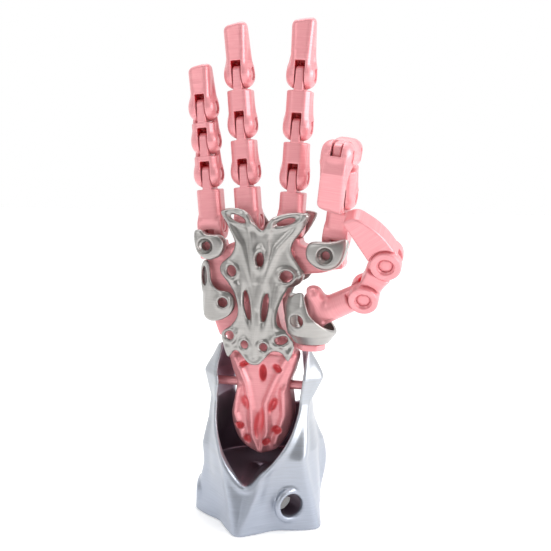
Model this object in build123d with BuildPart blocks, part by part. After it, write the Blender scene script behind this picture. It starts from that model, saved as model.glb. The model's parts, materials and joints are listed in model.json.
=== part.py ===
"""Articulated biomechanical right hand on a short forearm stand, palm towards -Y, fingers up +Z.

Every finger is a chain of printed links.  A link has two round ears at its lower end, which straddle the
flat tongue of the link below it, and a tongue of its own at its upper end.  A headed pin runs through
each ear-and-tongue pair.  Positive joint angles close the hand towards the palm (-Y).
All sizes are in millimetres.
"""
import math
import os

from build123d import *

os.makedirs("parts", exist_ok=True)

# ---------------------------------------------------------------- driving sizes: finger joints
EAR_RADIUS = 7.6  # side view of the round ears
EAR_HALF = 8.2  # half the width over both ears
BODY_HALF = 6.8  # half the width of a link's body
BODY_DEPTH_HALF = 7.0  # half the depth of a link's body, palm side to back
BODY_CHAMFER = 3.0
TONGUE_HALF = 2.5
TONGUE_RADIUS = 6.2  # the tongue's round end about its joint
TONGUE_TOP = 4.3  # flat top of the tongue above its joint
SLOT_TOP = 7.1  # top of the slot between two ears, above their joint
SIDE_GAP = 0.25  # between a tongue and each ear
RUN_GAP = 0.5  # between a pair of ears and the shoulders below them
PIN_RADIUS = 1.5
PIN_HEAD_RADIUS = 3.6
PIN_HEAD_THICK = 1.5
PIN_RECESS = 0.9  # how far a pin's head lies below the ear's face
PIN_GAP = 0.05  # radial clearance of a pin in its holes
TIP_CHAMFER = 1.6
JOIN = 1.0  # how far a tongue starts inside the body it grows from

CLEAR = 100.0  # side of a square that cuts away all of a link below a level

# ---------------------------------------------------------------- driving sizes: the four fingers
# knuckle centre, lean to the thumb side, link lengths, and how far each joint is bent at rest
FINGERS = {
    "little": ((-29.3, 0.0, 165.0), -4.0, (29.0, 18.3, 18.2, 23.0), (0, 0, 0, 0)),
    "ring": ((-8.0, 0.0, 168.0), -3.7, (27.4, 25.6, 26.8, 27.0), (0, 0, 0, 0)),
    "middle": ((16.1, 0.0, 168.0), 3.9, (24.7, 26.8, 27.3, 29.0), (0, 0, 0, 0)),
    "index": ((41.6, 0.0, 161.5), 8.5, (21.8, 25.5, 25.5, 28.0), (8, 17, 70, 83)),
}
SEGMENTS = ("proximal", "middle", "upper", "tip")

# ---------------------------------------------------------------- driving sizes: thumb
SWIVEL = (30.0, -10.0)  # the thumb's upright swivel axis
THUMB_ROOT_Z = 118.0  # height of the thumb's first hinge, on the swivel axis
THUMB_TILT = 25.0  # the thumb's bending plane leans towards the palm side
THUMB_LENGTHS = (33.5, 24.4, 31.0)
THUMB_ANGLES = (29.0, 31.5, 64.5)  # first link's direction, then the bend at each later joint
THUMB_SEGMENTS = ("metacarpal", "proximal", "tip")
THUMB_EAR_RADIUS = 7.8
LOBE_RADIUS = 5.0  # the rounded heel that stands up over the thumb's first hinge
LOBE_RISE = 12.5
LOBE_AHEAD = 8.5
LOBE_INSET = 1.0  # the lobe is this much narrower than the link on each side

# ---------------------------------------------------------------- driving sizes: palm
CORE_HALF = 7.5  # half the palm core's depth
CORE_FOOT_Z = 96.0
CORE_OUTLINE = (
    (-17.0, CORE_FOOT_Z),
    (20.0, CORE_FOOT_Z),
    (20.0, 104.0),
    (11.0, 112.0),
    (11.0, 130.0),
    (22.0, 139.5),
    (36.0, 141.5),
    (47.0, 147.0),
    (34.0, 150.0),
    (24.0, 156.0),
    (4.0, 158.0),
    (-14.0, 157.0),
    (-22.0, 153.5),
    (-35.0, 150.0),
    (-32.0, 128.0),
    (-25.0, 106.0),
)
NECK_LENGTH = 17.0  # a metacarpal neck from the core to its knuckle
PLATE_OUTER_Y = -17.5  # crown of the palm plate
PLATE_THICK = 3.2
BACK_OUTER_Y = 15.5  # crown of the back plate
BACK_THICK = 3.0
ARCH_RADIUS = 105.0  # both plates are arched across the hand
POST_RADIUS = 2.6
POST_PLACES = ((-11.0, 106.0), (9.0, 104.0), (-9.0, 126.0), (8.0, 126.0), (-13.0, 152.0), (17.0, 151.0))
PLATE_OUTLINE = (
    (-21.7, 106.4),
    (-12.0, 97.5),
    (-6.0, 98.0),
    (0.0, 91.0),
    (7.0, 98.0),
    (16.0, 92.0),
    (18.0, 99.0),
    (17.5, 104.0),
    (13.5, 112.0),
    (13.2, 126.0),
    (16.5, 135.0),
    (25.5, 138.5),
    (17.5, 146.0),
    (19.4, 154.0),
    (28.0, 161.0),
    (31.2, 170.0),
    (24.0, 173.5),
    (11.8, 172.9),
    (4.6, 161.0),
    (-2.5, 172.7),
    (-9.0, 177.0),
    (-19.3, 175.0),
    (-15.0, 164.0),
    (-7.5, 155.0),
    (-10.5, 146.0),
    (-18.5, 139.0),
    (-17.5, 129.0),
    (-14.5, 118.0),
)
PLATE_ROUND_HOLES = (  # x, z and radius
    (-12.9, 134.6, 2.6),
    (18.5, 138.0, 2.4),
    (-17.0, 106.6, 2.2),
    (-6.0, 102.6, 1.9),
    (2.8, 102.6, 1.9),
    (13.5, 105.5, 1.9),
)
PLATE_SLOTS = (  # x, z, length, width and turn
    (-12.0, 171.0, 8.0, 2.4, -25.0),
    (22.5, 168.5, 9.0, 2.4, 15.0),
    (1.8, 145.4, 9.0, 3.4, 90.0),
    (-4.8, 118.6, 17.0, 2.6, 96.0),
    (4.4, 118.6, 17.0, 2.6, 84.0),
)
CAP_RADIUS = 8.4
CAP_THICK = 3.4
CAP_FRONT_Y = -15.5
CAP_SPIGOT_RADIUS = 5.4
CAP_HOLE_RADIUS = 3.0
CAP_DROP = 9.5  # centre of a knuckle cap below its knuckle
HEEL_AXIS = (-20.5, 0.0)  # the shell over the little finger's edge of the palm is round about this line
HEEL_OUTER = 15.5
HEEL_WALL = 3.0
HEEL_LOW_Z = 112.0
HEEL_TOP_Z = 147.0
HEEL_BULGE = 4.0  # the shell's outline reaches this far past its middle line
HEEL_HOLE_RADIUS = 3.6
HEEL_HOLES = ((1.0, 4.0), (4.5, -8.0))  # from the middle of the shell

# ---------------------------------------------------------------- driving sizes: thumb base
HUB_RADIUS = 7.5
PEDESTAL_TOP_Z = 103.2
PEDESTAL_THICK = 3.6
HUB_THICK = 3.0
ROCK_GAP = 0.35  # between faces that turn past each other
SWIVEL_PIN_RADIUS = 2.5
SWIVEL_HEAD_RADIUS = 4.2
SWIVEL_HEAD_THICK = 1.5
THENAR_WALL = 2.2
THENAR_PROFILE = ((9.4, 103.6), (13.6, 109.0), (15.4, 117.0), (15.0, 125.0), (12.8, 132.0))
THENAR_MOUTH_AHEAD = 2.0  # mouth plane ahead of the first hinge
THENAR_MOUTH_TILT = 52.0  # how far the mouth looks up from the thumb side
THENAR_HOLE = (-5.0, 119.0, 3.0)  # beside the swivel axis, its height and radius

# ---------------------------------------------------------------- driving sizes: wrist and forearm
WRIST_Z = 76.0  # wrist axle
AXLE_RADIUS = 2.5
AXLE_HALF = 29.0
WRIST_CORE_HALF = 10.0  # half the wrist core's depth
WRIST_CORE_OUTLINE = (
    (-16.7, CORE_FOOT_Z),
    (20.0, CORE_FOOT_Z),
    (20.0, 86.0),
    (17.0, 76.0),
    (18.5, 58.0),
    (13.0, 42.0),
    (4.0, 36.0),
    (-3.0, 36.0),
    (-12.0, 43.0),
    (-17.5, 58.0),
    (-15.0, 76.0),
    (-18.0, 88.0),
)
SHELL_LOW_Z = 28.0
SHELL_WALL = 3.0
SHELL_SECTIONS = (  # height and outer half widths along X and Y
    (28.0, 33.0, 30.0),
    (46.0, 33.0, 29.0),
    (64.0, 32.5, 26.0),
    (80.0, 34.0, 20.0),
    (98.0, 28.0, 12.0),
)
OPENING_HALF = 20.5  # the gap between the two arms
OPENING_LOW_Z = 25.0  # the front window's lowest point
OPENING_WIDE_Z = 52.0
OPENING_CORNER_X = 12.3  # where the window's sides turn towards its lowest point
OPENING_CORNER_RISE = 8.0
BACK_OPENING_LOW_Z = 60.0
FOOT_LOBES = 5
FOOT_FIRST_LOBE = 262.0  # direction of the front ridge from +X
FOOT_TIP_RADIUS = 39.0
FOOT_WAIST_RADIUS = 29.0
SOCKET_RADIUS = 21.0
SOCKET_DEPTH = 20.0
PORT_RADIUS = 6.5
PORTS = ((-48.0, 13.0), (186.0, 10.5))  # direction from +X and height of each round port


def save(part, name):
    part.label = name
    export_step(part, f"parts/{name}.step")


def side_plane(frame):
    """Plane across a joint: its x runs to the back of the link, its y along the link."""
    return Plane(frame.origin, x_dir=frame.y_dir, z_dir=frame.x_dir)


def along(frame, distance):
    """The same frame moved along its link."""
    return Plane(frame.origin + frame.z_dir * distance, x_dir=frame.x_dir, z_dir=frame.z_dir)


def bent(frame, degrees):
    """The frame turned about its hinge axis, closing for a positive angle."""
    turn = math.radians(degrees)
    z_dir = frame.z_dir * math.cos(turn) - frame.y_dir * math.sin(turn)
    return Plane(frame.origin, x_dir=frame.x_dir, z_dir=z_dir)


def finger_frames(knuckle, lean, lengths, bends):
    """One frame for each joint of a finger, with its z along the link that starts there."""
    tilt = math.radians(lean)
    across = (math.cos(tilt), 0, -math.sin(tilt))
    up = (math.sin(tilt), 0, math.cos(tilt))
    frame = Plane(knuckle, x_dir=across, z_dir=up)
    frames = []
    for length, bend in zip(lengths, bends):
        frame = bent(frame, bend)
        frames.append(frame)
        frame = along(frame, length)
    return frames


def thumb_frames():
    """Thumb frames: the hinge axis points to the palm side, the thumb's back is on its outer side."""
    tilt = math.radians(THUMB_TILT)
    up = Vector(0, -math.sin(tilt), math.cos(tilt))
    axis = Vector(0, -math.cos(tilt), -math.sin(tilt))
    heading = 0.0
    origin = Vector(*SWIVEL, THUMB_ROOT_Z)
    frames = []
    for length, turn in zip(THUMB_LENGTHS, THUMB_ANGLES):
        heading += math.radians(turn)
        z_dir = Vector(1, 0, 0) * math.cos(heading) + up * math.sin(heading)
        frames.append(Plane(origin, x_dir=axis, z_dir=z_dir))
        origin = origin + z_dir * length
    return frames


def make_pin(frame, name, ear_half=EAR_HALF):
    """Headed hinge pin: a shaft through both ears with a flat head let into each ear's outer face."""
    half = ear_half - PIN_RECESS
    with BuildPart() as pin:
        with BuildSketch(side_plane(frame)):
            Circle(PIN_RADIUS)
        extrude(amount=half, both=True)
        for side in (1, -1):
            with BuildSketch(side_plane(frame).offset(side * half)):
                Circle(PIN_HEAD_RADIUS)
            extrude(amount=-side * PIN_HEAD_THICK)
    save(pin.part, name)


def make_link(frame, length, name, ear_radius=EAR_RADIUS, next_ear=EAR_RADIUS, lobe=False):
    """A finger link: ears and slot at its lower joint, chamfered body, tongue at its upper joint."""
    side = side_plane(frame)
    shoulder = length - next_ear - RUN_GAP
    head_seat = EAR_HALF - PIN_RECESS - PIN_HEAD_THICK
    with BuildPart() as link:
        with BuildSketch(frame) as section:
            Rectangle(2 * BODY_HALF, 2 * BODY_DEPTH_HALF)
            chamfer(section.vertices(), BODY_CHAMFER)
        extrude(amount=shoulder)
        with BuildSketch(side):
            Circle(ear_radius)
        extrude(amount=EAR_HALF, both=True)
        if lobe:
            with BuildSketch(side):
                with Locations((-LOBE_RISE, LOBE_AHEAD)):
                    Circle(LOBE_RADIUS)
                with Locations((0, 0)):
                    Circle(LOBE_RADIUS)
                make_hull()
            extrude(amount=BODY_HALF - LOBE_INSET, both=True)
        with BuildSketch(side):
            with Locations((0, SLOT_TOP)):
                Rectangle(CLEAR, CLEAR, align=(Align.CENTER, Align.MAX))
        extrude(amount=TONGUE_HALF + SIDE_GAP, both=True, mode=Mode.SUBTRACT)
        with BuildSketch(side.offset(-TONGUE_HALF)):
            with Locations((0, length)):
                Circle(TONGUE_RADIUS)
            with Locations((0, shoulder - JOIN)):
                Rectangle(2 * TONGUE_RADIUS, length - shoulder + JOIN, align=(Align.CENTER, Align.MIN))
            with Locations((0, length + TONGUE_TOP)):
                Rectangle(
                    4 * TONGUE_RADIUS,
                    TONGUE_RADIUS,
                    align=(Align.CENTER, Align.MIN),
                    mode=Mode.SUBTRACT,
                )
        extrude(amount=2 * TONGUE_HALF)
        with BuildSketch(side):
            Circle(PIN_RADIUS + PIN_GAP)
            with Locations((0, length)):
                Circle(PIN_RADIUS + PIN_GAP)
        extrude(amount=2 * EAR_HALF, both=True, mode=Mode.SUBTRACT)
        for direction in (1, -1):
            with BuildSketch(side.offset(direction * head_seat)):
                Circle(PIN_HEAD_RADIUS + PIN_GAP)
            extrude(amount=direction * EAR_HALF, mode=Mode.SUBTRACT)
    save(link.part, name)


def make_tip(frame, length, name, ear_radius=EAR_RADIUS):
    """A fingertip: ears and slot at its joint, and a blunt pad that thins towards the back of the nail."""
    side = side_plane(frame)
    head_seat = EAR_HALF - PIN_RECESS - PIN_HEAD_THICK
    depth = BODY_DEPTH_HALF
    with BuildPart() as tip:
        with BuildSketch(side):
            with BuildLine():
                Polyline(
                    (-depth, 0),
                    (-depth, 0.55 * length),
                    (-0.62 * depth, length - 1.2),
                    (-0.3 * depth, length),
                    (0.25 * depth, length),
                    (0.62 * depth, 0.86 * length),
                    (depth, 0.42 * length),
                    (depth, 0),
                    close=True,
                )
            make_face()
        extrude(amount=BODY_HALF, both=True)
        chamfer(tip.edges().filter_by(lambda e: abs(e.tangent_at(0.5).dot(frame.x_dir)) < 0.1), TIP_CHAMFER)
        with BuildSketch(side):
            Circle(ear_radius)
        extrude(amount=EAR_HALF, both=True)
        with BuildSketch(side):
            with Locations((0, SLOT_TOP)):
                Rectangle(CLEAR, CLEAR, align=(Align.CENTER, Align.MAX))
        extrude(amount=TONGUE_HALF + SIDE_GAP, both=True, mode=Mode.SUBTRACT)
        with BuildSketch(side):
            Circle(PIN_RADIUS + PIN_GAP)
        extrude(amount=2 * EAR_HALF, both=True, mode=Mode.SUBTRACT)
        for direction in (1, -1):
            with BuildSketch(side.offset(direction * head_seat)):
                Circle(PIN_HEAD_RADIUS + PIN_GAP)
            extrude(amount=direction * EAR_HALF, mode=Mode.SUBTRACT)
    save(tip.part, name)


finger_joints = {}
for finger, (knuckle, lean, lengths, bends) in FINGERS.items():
    frames = finger_frames(knuckle, lean, lengths, bends)
    finger_joints[finger] = frames
    for segment, frame, length in zip(SEGMENTS, frames, lengths):
        if segment == "tip":
            make_tip(frame, length, f"{finger}_tip")
        else:
            make_link(frame, length, f"{finger}_{segment}_link")
        make_pin(frame, f"{finger}_{segment}_pin")

thumb_joints = thumb_frames()
for segment, frame, length in zip(THUMB_SEGMENTS, thumb_joints, THUMB_LENGTHS):
    if segment == "tip":
        make_tip(frame, length, "thumb_tip", THUMB_EAR_RADIUS)
    else:
        lobe = segment == "metacarpal"
        make_link(frame, length, f"thumb_{segment}_link", THUMB_EAR_RADIUS, THUMB_EAR_RADIUS, lobe)
    make_pin(frame, f"thumb_{segment}_pin")

# ---------------------------------------------------------------- palm core, plates and shells
FRONT = Plane.XZ  # x is +X, y is +Z, and it looks to the palm side
plate_centre = (0.0, PLATE_OUTER_Y + ARCH_RADIUS)
back_centre = (0.0, BACK_OUTER_Y - ARCH_RADIUS)
core_low_z = PEDESTAL_TOP_Z - PEDESTAL_THICK
thenar_reach = max(radius for radius, _ in THENAR_PROFILE) + ROCK_GAP
thenar_top_z = THENAR_PROFILE[-1][1]
total_height = 2 * CORE_FOOT_Z


def outside_arch(centre, radius):
    """Cuts away what lies beyond a plate's inner face."""
    with BuildSketch(Plane.XY) as beyond:
        with Locations(centre):
            Circle(2 * ARCH_RADIUS)
            Circle(radius, mode=Mode.SUBTRACT)
    extrude(beyond.sketch, amount=total_height, mode=Mode.SUBTRACT)


def neck_frame(finger):
    """A finger's knuckle frame with the finger straight."""
    return bent(finger_joints[finger][0], -FINGERS[finger][3][0])


with BuildPart() as palm_core:
    with BuildSketch(FRONT):
        with Locations(*POST_PLACES):
            Circle(POST_RADIUS)
    extrude(amount=2 * BACK_OUTER_Y, both=True)
    outside_arch(plate_centre, ARCH_RADIUS - PLATE_THICK)
    outside_arch(back_centre, ARCH_RADIUS - BACK_THICK)
    with BuildSketch(FRONT):
        with BuildLine():
            Polyline(*CORE_OUTLINE, close=True)
        make_face()
    extrude(amount=CORE_HALF, both=True)
    with BuildSketch(Plane.XY.offset(core_low_z)):
        with Locations(SWIVEL):
            Circle(HUB_RADIUS)
        with Locations((SWIVEL[0] - HUB_RADIUS, SWIVEL[1])):
            Rectangle(2 * HUB_RADIUS, HUB_RADIUS, align=(Align.CENTER, Align.MIN))
    extrude(amount=PEDESTAL_THICK)
    with BuildSketch(Plane.XY.offset(PEDESTAL_TOP_Z)):
        with Locations(SWIVEL):
            Circle(thenar_reach)
    extrude(amount=thenar_top_z + ROCK_GAP - PEDESTAL_TOP_Z, mode=Mode.SUBTRACT)
    with BuildSketch(Plane.XY.offset(core_low_z)):
        with Locations(SWIVEL):
            Circle(SWIVEL_PIN_RADIUS + PIN_GAP)
    extrude(amount=PEDESTAL_THICK, mode=Mode.SUBTRACT)
    with BuildSketch(Plane.XY.offset(core_low_z)):
        with Locations(SWIVEL):
            Circle(SWIVEL_HEAD_RADIUS + PIN_GAP)
    extrude(amount=SWIVEL_HEAD_THICK, mode=Mode.SUBTRACT)
    with BuildSketch(Plane.XY.offset(HEEL_LOW_Z)):
        with Locations(HEEL_AXIS):
            Rectangle(2 * HEEL_OUTER, 4 * HEEL_OUTER, align=(Align.MAX, Align.CENTER))
            Circle(HEEL_OUTER - HEEL_WALL, mode=Mode.SUBTRACT)
    extrude(amount=HEEL_TOP_Z - HEEL_LOW_Z, mode=Mode.SUBTRACT)
    for finger in FINGERS:
        neck = neck_frame(finger)
        shoulder = -EAR_RADIUS - RUN_GAP
        with BuildSketch(along(neck, -NECK_LENGTH)):
            Rectangle(2 * BODY_HALF, 2 * CORE_HALF)
        extrude(amount=NECK_LENGTH + shoulder)
        with BuildSketch(side_plane(neck).offset(-TONGUE_HALF)):
            Circle(TONGUE_RADIUS)
            with Locations((0, shoulder - JOIN)):
                Rectangle(2 * TONGUE_RADIUS, -shoulder + JOIN, align=(Align.CENTER, Align.MIN))
            with Locations((0, TONGUE_TOP)):
                Rectangle(
                    4 * TONGUE_RADIUS,
                    TONGUE_RADIUS,
                    align=(Align.CENTER, Align.MIN),
                    mode=Mode.SUBTRACT,
                )
        extrude(amount=2 * TONGUE_HALF)
        with BuildSketch(side_plane(neck)):
            Circle(PIN_RADIUS + PIN_GAP)
        extrude(amount=2 * TONGUE_HALF, both=True, mode=Mode.SUBTRACT)
save(palm_core.part, "palm_core")


def make_plate(centre, outer, thick, side, name):
    """One arched plate of the palm, on the palm side for side 1 and on the back for side -1."""
    with BuildPart() as plate:
        with BuildSketch(Plane.XY):
            with Locations(centre):
                Circle(outer)
                Circle(outer - thick, mode=Mode.SUBTRACT)
        extrude(amount=total_height)
        with BuildSketch(FRONT):
            with BuildLine():
                Polyline(*PLATE_OUTLINE, close=True)
            make_face()
            for x, z, radius in PLATE_ROUND_HOLES:
                with Locations((x, z)):
                    Circle(radius, mode=Mode.SUBTRACT)
            for x, z, length, width, turn in PLATE_SLOTS:
                with Locations((x, z)):
                    SlotOverall(length, width, rotation=turn, mode=Mode.SUBTRACT)
        extrude(amount=side * ARCH_RADIUS / 2, mode=Mode.INTERSECT)
    save(plate.part, name)


make_plate(plate_centre, ARCH_RADIUS, PLATE_THICK, 1, "palm_plate")
make_plate(back_centre, ARCH_RADIUS, BACK_THICK, -1, "back_plate")

for finger in ("little", "index"):
    cap_centre = neck_frame(finger).origin - neck_frame(finger).z_dir * CAP_DROP
    with BuildPart() as cap:
        with BuildSketch(FRONT.offset(-CAP_FRONT_Y)):
            with Locations((cap_centre.X, cap_centre.Z)):
                Circle(CAP_RADIUS)
        extrude(amount=-CAP_THICK)
        with BuildSketch(FRONT.offset(-CAP_FRONT_Y)):
            with Locations((cap_centre.X, cap_centre.Z)):
                Circle(CAP_SPIGOT_RADIUS)
        extrude(amount=CAP_FRONT_Y + CORE_HALF)
        with BuildSketch(FRONT.offset(-CAP_FRONT_Y)):
            with Locations((cap_centre.X, cap_centre.Z)):
                Circle(CAP_HOLE_RADIUS)
        extrude(amount=CAP_FRONT_Y + CORE_HALF, mode=Mode.SUBTRACT)
    save(cap.part, f"{finger}_knuckle_cap")

with BuildPart() as heel_shell:
    with BuildSketch(Plane.XY.offset(HEEL_LOW_Z)):
        with Locations(HEEL_AXIS):
            Circle(HEEL_OUTER)
            Circle(HEEL_OUTER - HEEL_WALL, mode=Mode.SUBTRACT)
            Rectangle(2 * HEEL_OUTER, 4 * HEEL_OUTER, align=(Align.MIN, Align.CENTER), mode=Mode.SUBTRACT)
    extrude(amount=HEEL_TOP_Z - HEEL_LOW_Z)
    with BuildSketch(FRONT):
        with Locations((HEEL_AXIS[0] - HEEL_OUTER / 2, (HEEL_LOW_Z + HEEL_TOP_Z) / 2)):
            Ellipse(HEEL_OUTER / 2 + HEEL_BULGE, (HEEL_TOP_Z - HEEL_LOW_Z) / 2)
            with Locations(*HEEL_HOLES):
                Circle(HEEL_HOLE_RADIUS, mode=Mode.SUBTRACT)
    extrude(amount=2 * HEEL_OUTER, both=True, mode=Mode.INTERSECT)
save(heel_shell.part, "heel_shell")

# ---------------------------------------------------------------- thumb base
thumb_root = thumb_joints[0]
hub_low_z = PEDESTAL_TOP_Z + ROCK_GAP
hub_top_z = hub_low_z + HUB_THICK
with BuildPart() as thumb_hub:
    with BuildSketch(side_plane(thumb_root).offset(-TONGUE_HALF)):
        Circle(TONGUE_RADIUS)
        foot = side_plane(thumb_root).to_local_coords(Vector(*SWIVEL, hub_low_z))
        with BuildLine():
            Polyline(
                (-1, -TONGUE_RADIUS + 0.2),
                (foot.X + 5, foot.Y - 3),
                (foot.X + 1, foot.Y + 5),
                (-1, TONGUE_RADIUS - 0.2),
                close=True,
            )
        make_face()
    extrude(amount=2 * TONGUE_HALF)
    with BuildSketch(Plane.XY.offset(hub_low_z)):
        with Locations(SWIVEL):
            Circle(4 * HUB_RADIUS)
    extrude(amount=-4 * HUB_RADIUS, mode=Mode.SUBTRACT)
    with BuildSketch(Plane.XY.offset(hub_low_z)):
        with Locations(SWIVEL):
            Circle(4 * HUB_RADIUS)
            Circle(HUB_RADIUS, mode=Mode.SUBTRACT)
    extrude(amount=HUB_THICK, mode=Mode.SUBTRACT)
    with BuildSketch(Plane.XY.offset(hub_low_z)):
        with Locations(SWIVEL):
            Circle(HUB_RADIUS)
    extrude(amount=HUB_THICK)
    with BuildSketch(side_plane(thumb_root)):
        Circle(PIN_RADIUS + PIN_GAP)
    extrude(amount=2 * TONGUE_HALF, both=True, mode=Mode.SUBTRACT)
    with BuildSketch(Plane.XY.offset(hub_low_z)):
        with Locations(SWIVEL):
            Circle(SWIVEL_PIN_RADIUS + PIN_GAP)
    extrude(amount=HUB_THICK, mode=Mode.SUBTRACT)
save(thumb_hub.part, "thumb_hub")

with BuildPart() as swivel_pin:
    with BuildSketch(Plane.XY.offset(core_low_z)):
        with Locations(SWIVEL):
            Circle(SWIVEL_PIN_RADIUS)
    extrude(amount=hub_top_z - core_low_z - PIN_GAP)
    with BuildSketch(Plane.XY.offset(core_low_z)):
        with Locations(SWIVEL):
            Circle(SWIVEL_HEAD_RADIUS)
    extrude(amount=SWIVEL_HEAD_THICK)
save(swivel_pin.part, "thumb_swivel_pin")

with BuildPart() as thenar_shell:
    with BuildSketch(Plane((*SWIVEL, 0), x_dir=(1, 0, 0), z_dir=(0, -1, 0))):
        with BuildLine():
            inner_profile = [(radius - THENAR_WALL, z) for radius, z in reversed(THENAR_PROFILE)]
            Polyline(*THENAR_PROFILE, *inner_profile, close=True)
        make_face()
    revolve(axis=Axis((*SWIVEL, 0), (0, 0, 1)))
    with BuildSketch(Plane.XY.offset(hub_low_z)):
        with Locations(SWIVEL):
            Circle(HUB_RADIUS)
    extrude(amount=HUB_THICK, mode=Mode.SUBTRACT)
    mouth = math.radians(THENAR_MOUTH_TILT)
    mouth_normal = Vector(math.cos(mouth), 0, math.sin(mouth))
    mouth_origin = Vector(*SWIVEL, THUMB_ROOT_Z) + mouth_normal * THENAR_MOUTH_AHEAD
    with BuildSketch(Plane(mouth_origin, x_dir=(0, 1, 0), z_dir=mouth_normal)):
        Rectangle(8 * HUB_RADIUS, 8 * HUB_RADIUS)
    extrude(amount=8 * HUB_RADIUS, mode=Mode.SUBTRACT)
    with BuildSketch(FRONT.offset(-SWIVEL[1])):
        with Locations((SWIVEL[0] + THENAR_HOLE[0], THENAR_HOLE[1])):
            Circle(THENAR_HOLE[2])
    extrude(amount=2 * HUB_RADIUS, mode=Mode.SUBTRACT)
save(thenar_shell.part, "thenar_shell")

# ---------------------------------------------------------------- wrist core and axle
with BuildPart() as wrist_core:
    with BuildSketch(FRONT):
        with BuildLine():
            Polyline(*WRIST_CORE_OUTLINE, close=True)
        make_face()
    extrude(amount=WRIST_CORE_HALF, both=True)
    with BuildSketch(Plane.YZ):
        with Locations((0, WRIST_Z)):
            Circle(AXLE_RADIUS + PIN_GAP)
    extrude(amount=AXLE_HALF, both=True, mode=Mode.SUBTRACT)
save(wrist_core.part, "wrist_core")

with BuildPart() as wrist_axle:
    with BuildSketch(Plane.YZ):
        with Locations((0, WRIST_Z)):
            Circle(AXLE_RADIUS)
    extrude(amount=AXLE_HALF, both=True)
save(wrist_axle.part, "wrist_axle")

# ---------------------------------------------------------------- forearm shell with its foot


def polar(radius, degrees):
    angle = math.radians(degrees)
    return (radius * math.cos(angle), radius * math.sin(angle))


foot_points = []
for lobe in range(FOOT_LOBES):
    tip_angle = FOOT_FIRST_LOBE + 360 * lobe / FOOT_LOBES
    foot_points.append(polar(FOOT_TIP_RADIUS, tip_angle))
    foot_points.append(polar(FOOT_WAIST_RADIUS, tip_angle + 180 / FOOT_LOBES))

with BuildPart() as forearm_shell:
    with BuildSketch(Plane.XY):
        with BuildLine():
            Spline(*foot_points, periodic=True)
        make_face()
    with BuildSketch(Plane.XY.offset(SHELL_LOW_Z)):
        Ellipse(*SHELL_SECTIONS[0][1:])
    loft()
    for z, half_x, half_y in SHELL_SECTIONS:
        with BuildSketch(Plane.XY.offset(z)):
            Ellipse(half_x, half_y)
    loft()
    for z, half_x, half_y in SHELL_SECTIONS:
        with BuildSketch(Plane.XY.offset(z)):
            Ellipse(half_x - SHELL_WALL, half_y - SHELL_WALL)
    loft(mode=Mode.SUBTRACT)
    with BuildSketch(FRONT):
        with BuildLine():
            Polyline(
                (-OPENING_HALF, total_height),
                (-OPENING_HALF, OPENING_WIDE_Z),
                (-OPENING_CORNER_X, OPENING_LOW_Z + OPENING_CORNER_RISE),
                (0, OPENING_LOW_Z),
                (OPENING_CORNER_X, OPENING_LOW_Z + OPENING_CORNER_RISE),
                (OPENING_HALF, OPENING_WIDE_Z),
                (OPENING_HALF, total_height),
                close=True,
            )
        make_face()
    extrude(amount=2 * FOOT_TIP_RADIUS, mode=Mode.SUBTRACT)
    with BuildSketch(FRONT):
        with Locations((0, BACK_OPENING_LOW_Z)):
            Rectangle(2 * OPENING_HALF, total_height, align=(Align.CENTER, Align.MIN))
    extrude(amount=-2 * FOOT_TIP_RADIUS, mode=Mode.SUBTRACT)
    with BuildSketch(Plane.XY):
        Circle(SOCKET_RADIUS)
    extrude(amount=SOCKET_DEPTH, mode=Mode.SUBTRACT)
    for direction, height in PORTS:
        with BuildSketch(Plane((0, 0, height), x_dir=(0, 0, 1), z_dir=(*polar(1, direction), 0))):
            Circle(PORT_RADIUS)
        extrude(amount=2 * FOOT_TIP_RADIUS, mode=Mode.SUBTRACT)
    with BuildSketch(Plane.YZ):
        with Locations((0, WRIST_Z)):
            Circle(AXLE_RADIUS + PIN_GAP)
    extrude(amount=AXLE_HALF, both=True, mode=Mode.SUBTRACT)
save(forearm_shell.part, "forearm_shell")
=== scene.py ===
# %% [markdown]
# # A printed articulated hand
#
# The real object is a life-size hand printed in silk plastic.  Its finger links, shells and stand are many
# separate prints that turn on pins.  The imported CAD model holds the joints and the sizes.  This lesson gives
# each print its flowing shape and its layered, shiny finish, and leaves every joint where the CAD has it.

# %% Load the frame
import json
import math

import bpy
import numpy as np
import openvdb
from mathutils import Matrix, Vector


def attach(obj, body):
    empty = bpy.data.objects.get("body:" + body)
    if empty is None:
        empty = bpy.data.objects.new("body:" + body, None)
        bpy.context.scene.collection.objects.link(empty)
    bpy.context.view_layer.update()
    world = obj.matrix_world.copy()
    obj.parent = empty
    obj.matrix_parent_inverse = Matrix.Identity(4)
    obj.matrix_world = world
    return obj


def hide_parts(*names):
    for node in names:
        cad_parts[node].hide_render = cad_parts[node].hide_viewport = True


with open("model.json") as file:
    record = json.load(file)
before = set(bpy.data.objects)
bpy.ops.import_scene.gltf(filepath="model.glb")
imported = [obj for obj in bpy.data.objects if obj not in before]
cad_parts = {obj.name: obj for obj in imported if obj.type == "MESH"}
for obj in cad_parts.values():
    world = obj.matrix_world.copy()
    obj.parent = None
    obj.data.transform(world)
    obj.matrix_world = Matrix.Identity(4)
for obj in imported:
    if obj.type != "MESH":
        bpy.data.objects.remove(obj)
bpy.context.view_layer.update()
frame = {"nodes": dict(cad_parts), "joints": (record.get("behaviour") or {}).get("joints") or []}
joints = {joint["name"]: joint for joint in frame["joints"]}

# %% [markdown]
# ## Camera
#
# A camera is an object that looks along its own -Z.  The hand is seen from its palm side, a little from the
# thumb side and from just above the wrist, so the camera stands there and is turned with `to_track_quat`.

# %% Camera
CAMERA_TARGET = Vector((0.007, 0.0, 0.138))
CAMERA_AZIMUTH = math.radians(14)
CAMERA_ELEVATION = math.radians(8)
CAMERA_DISTANCE = 0.43
CAMERA_LENS = 50.3  # millimetres, on a 36 mm sensor

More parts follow.
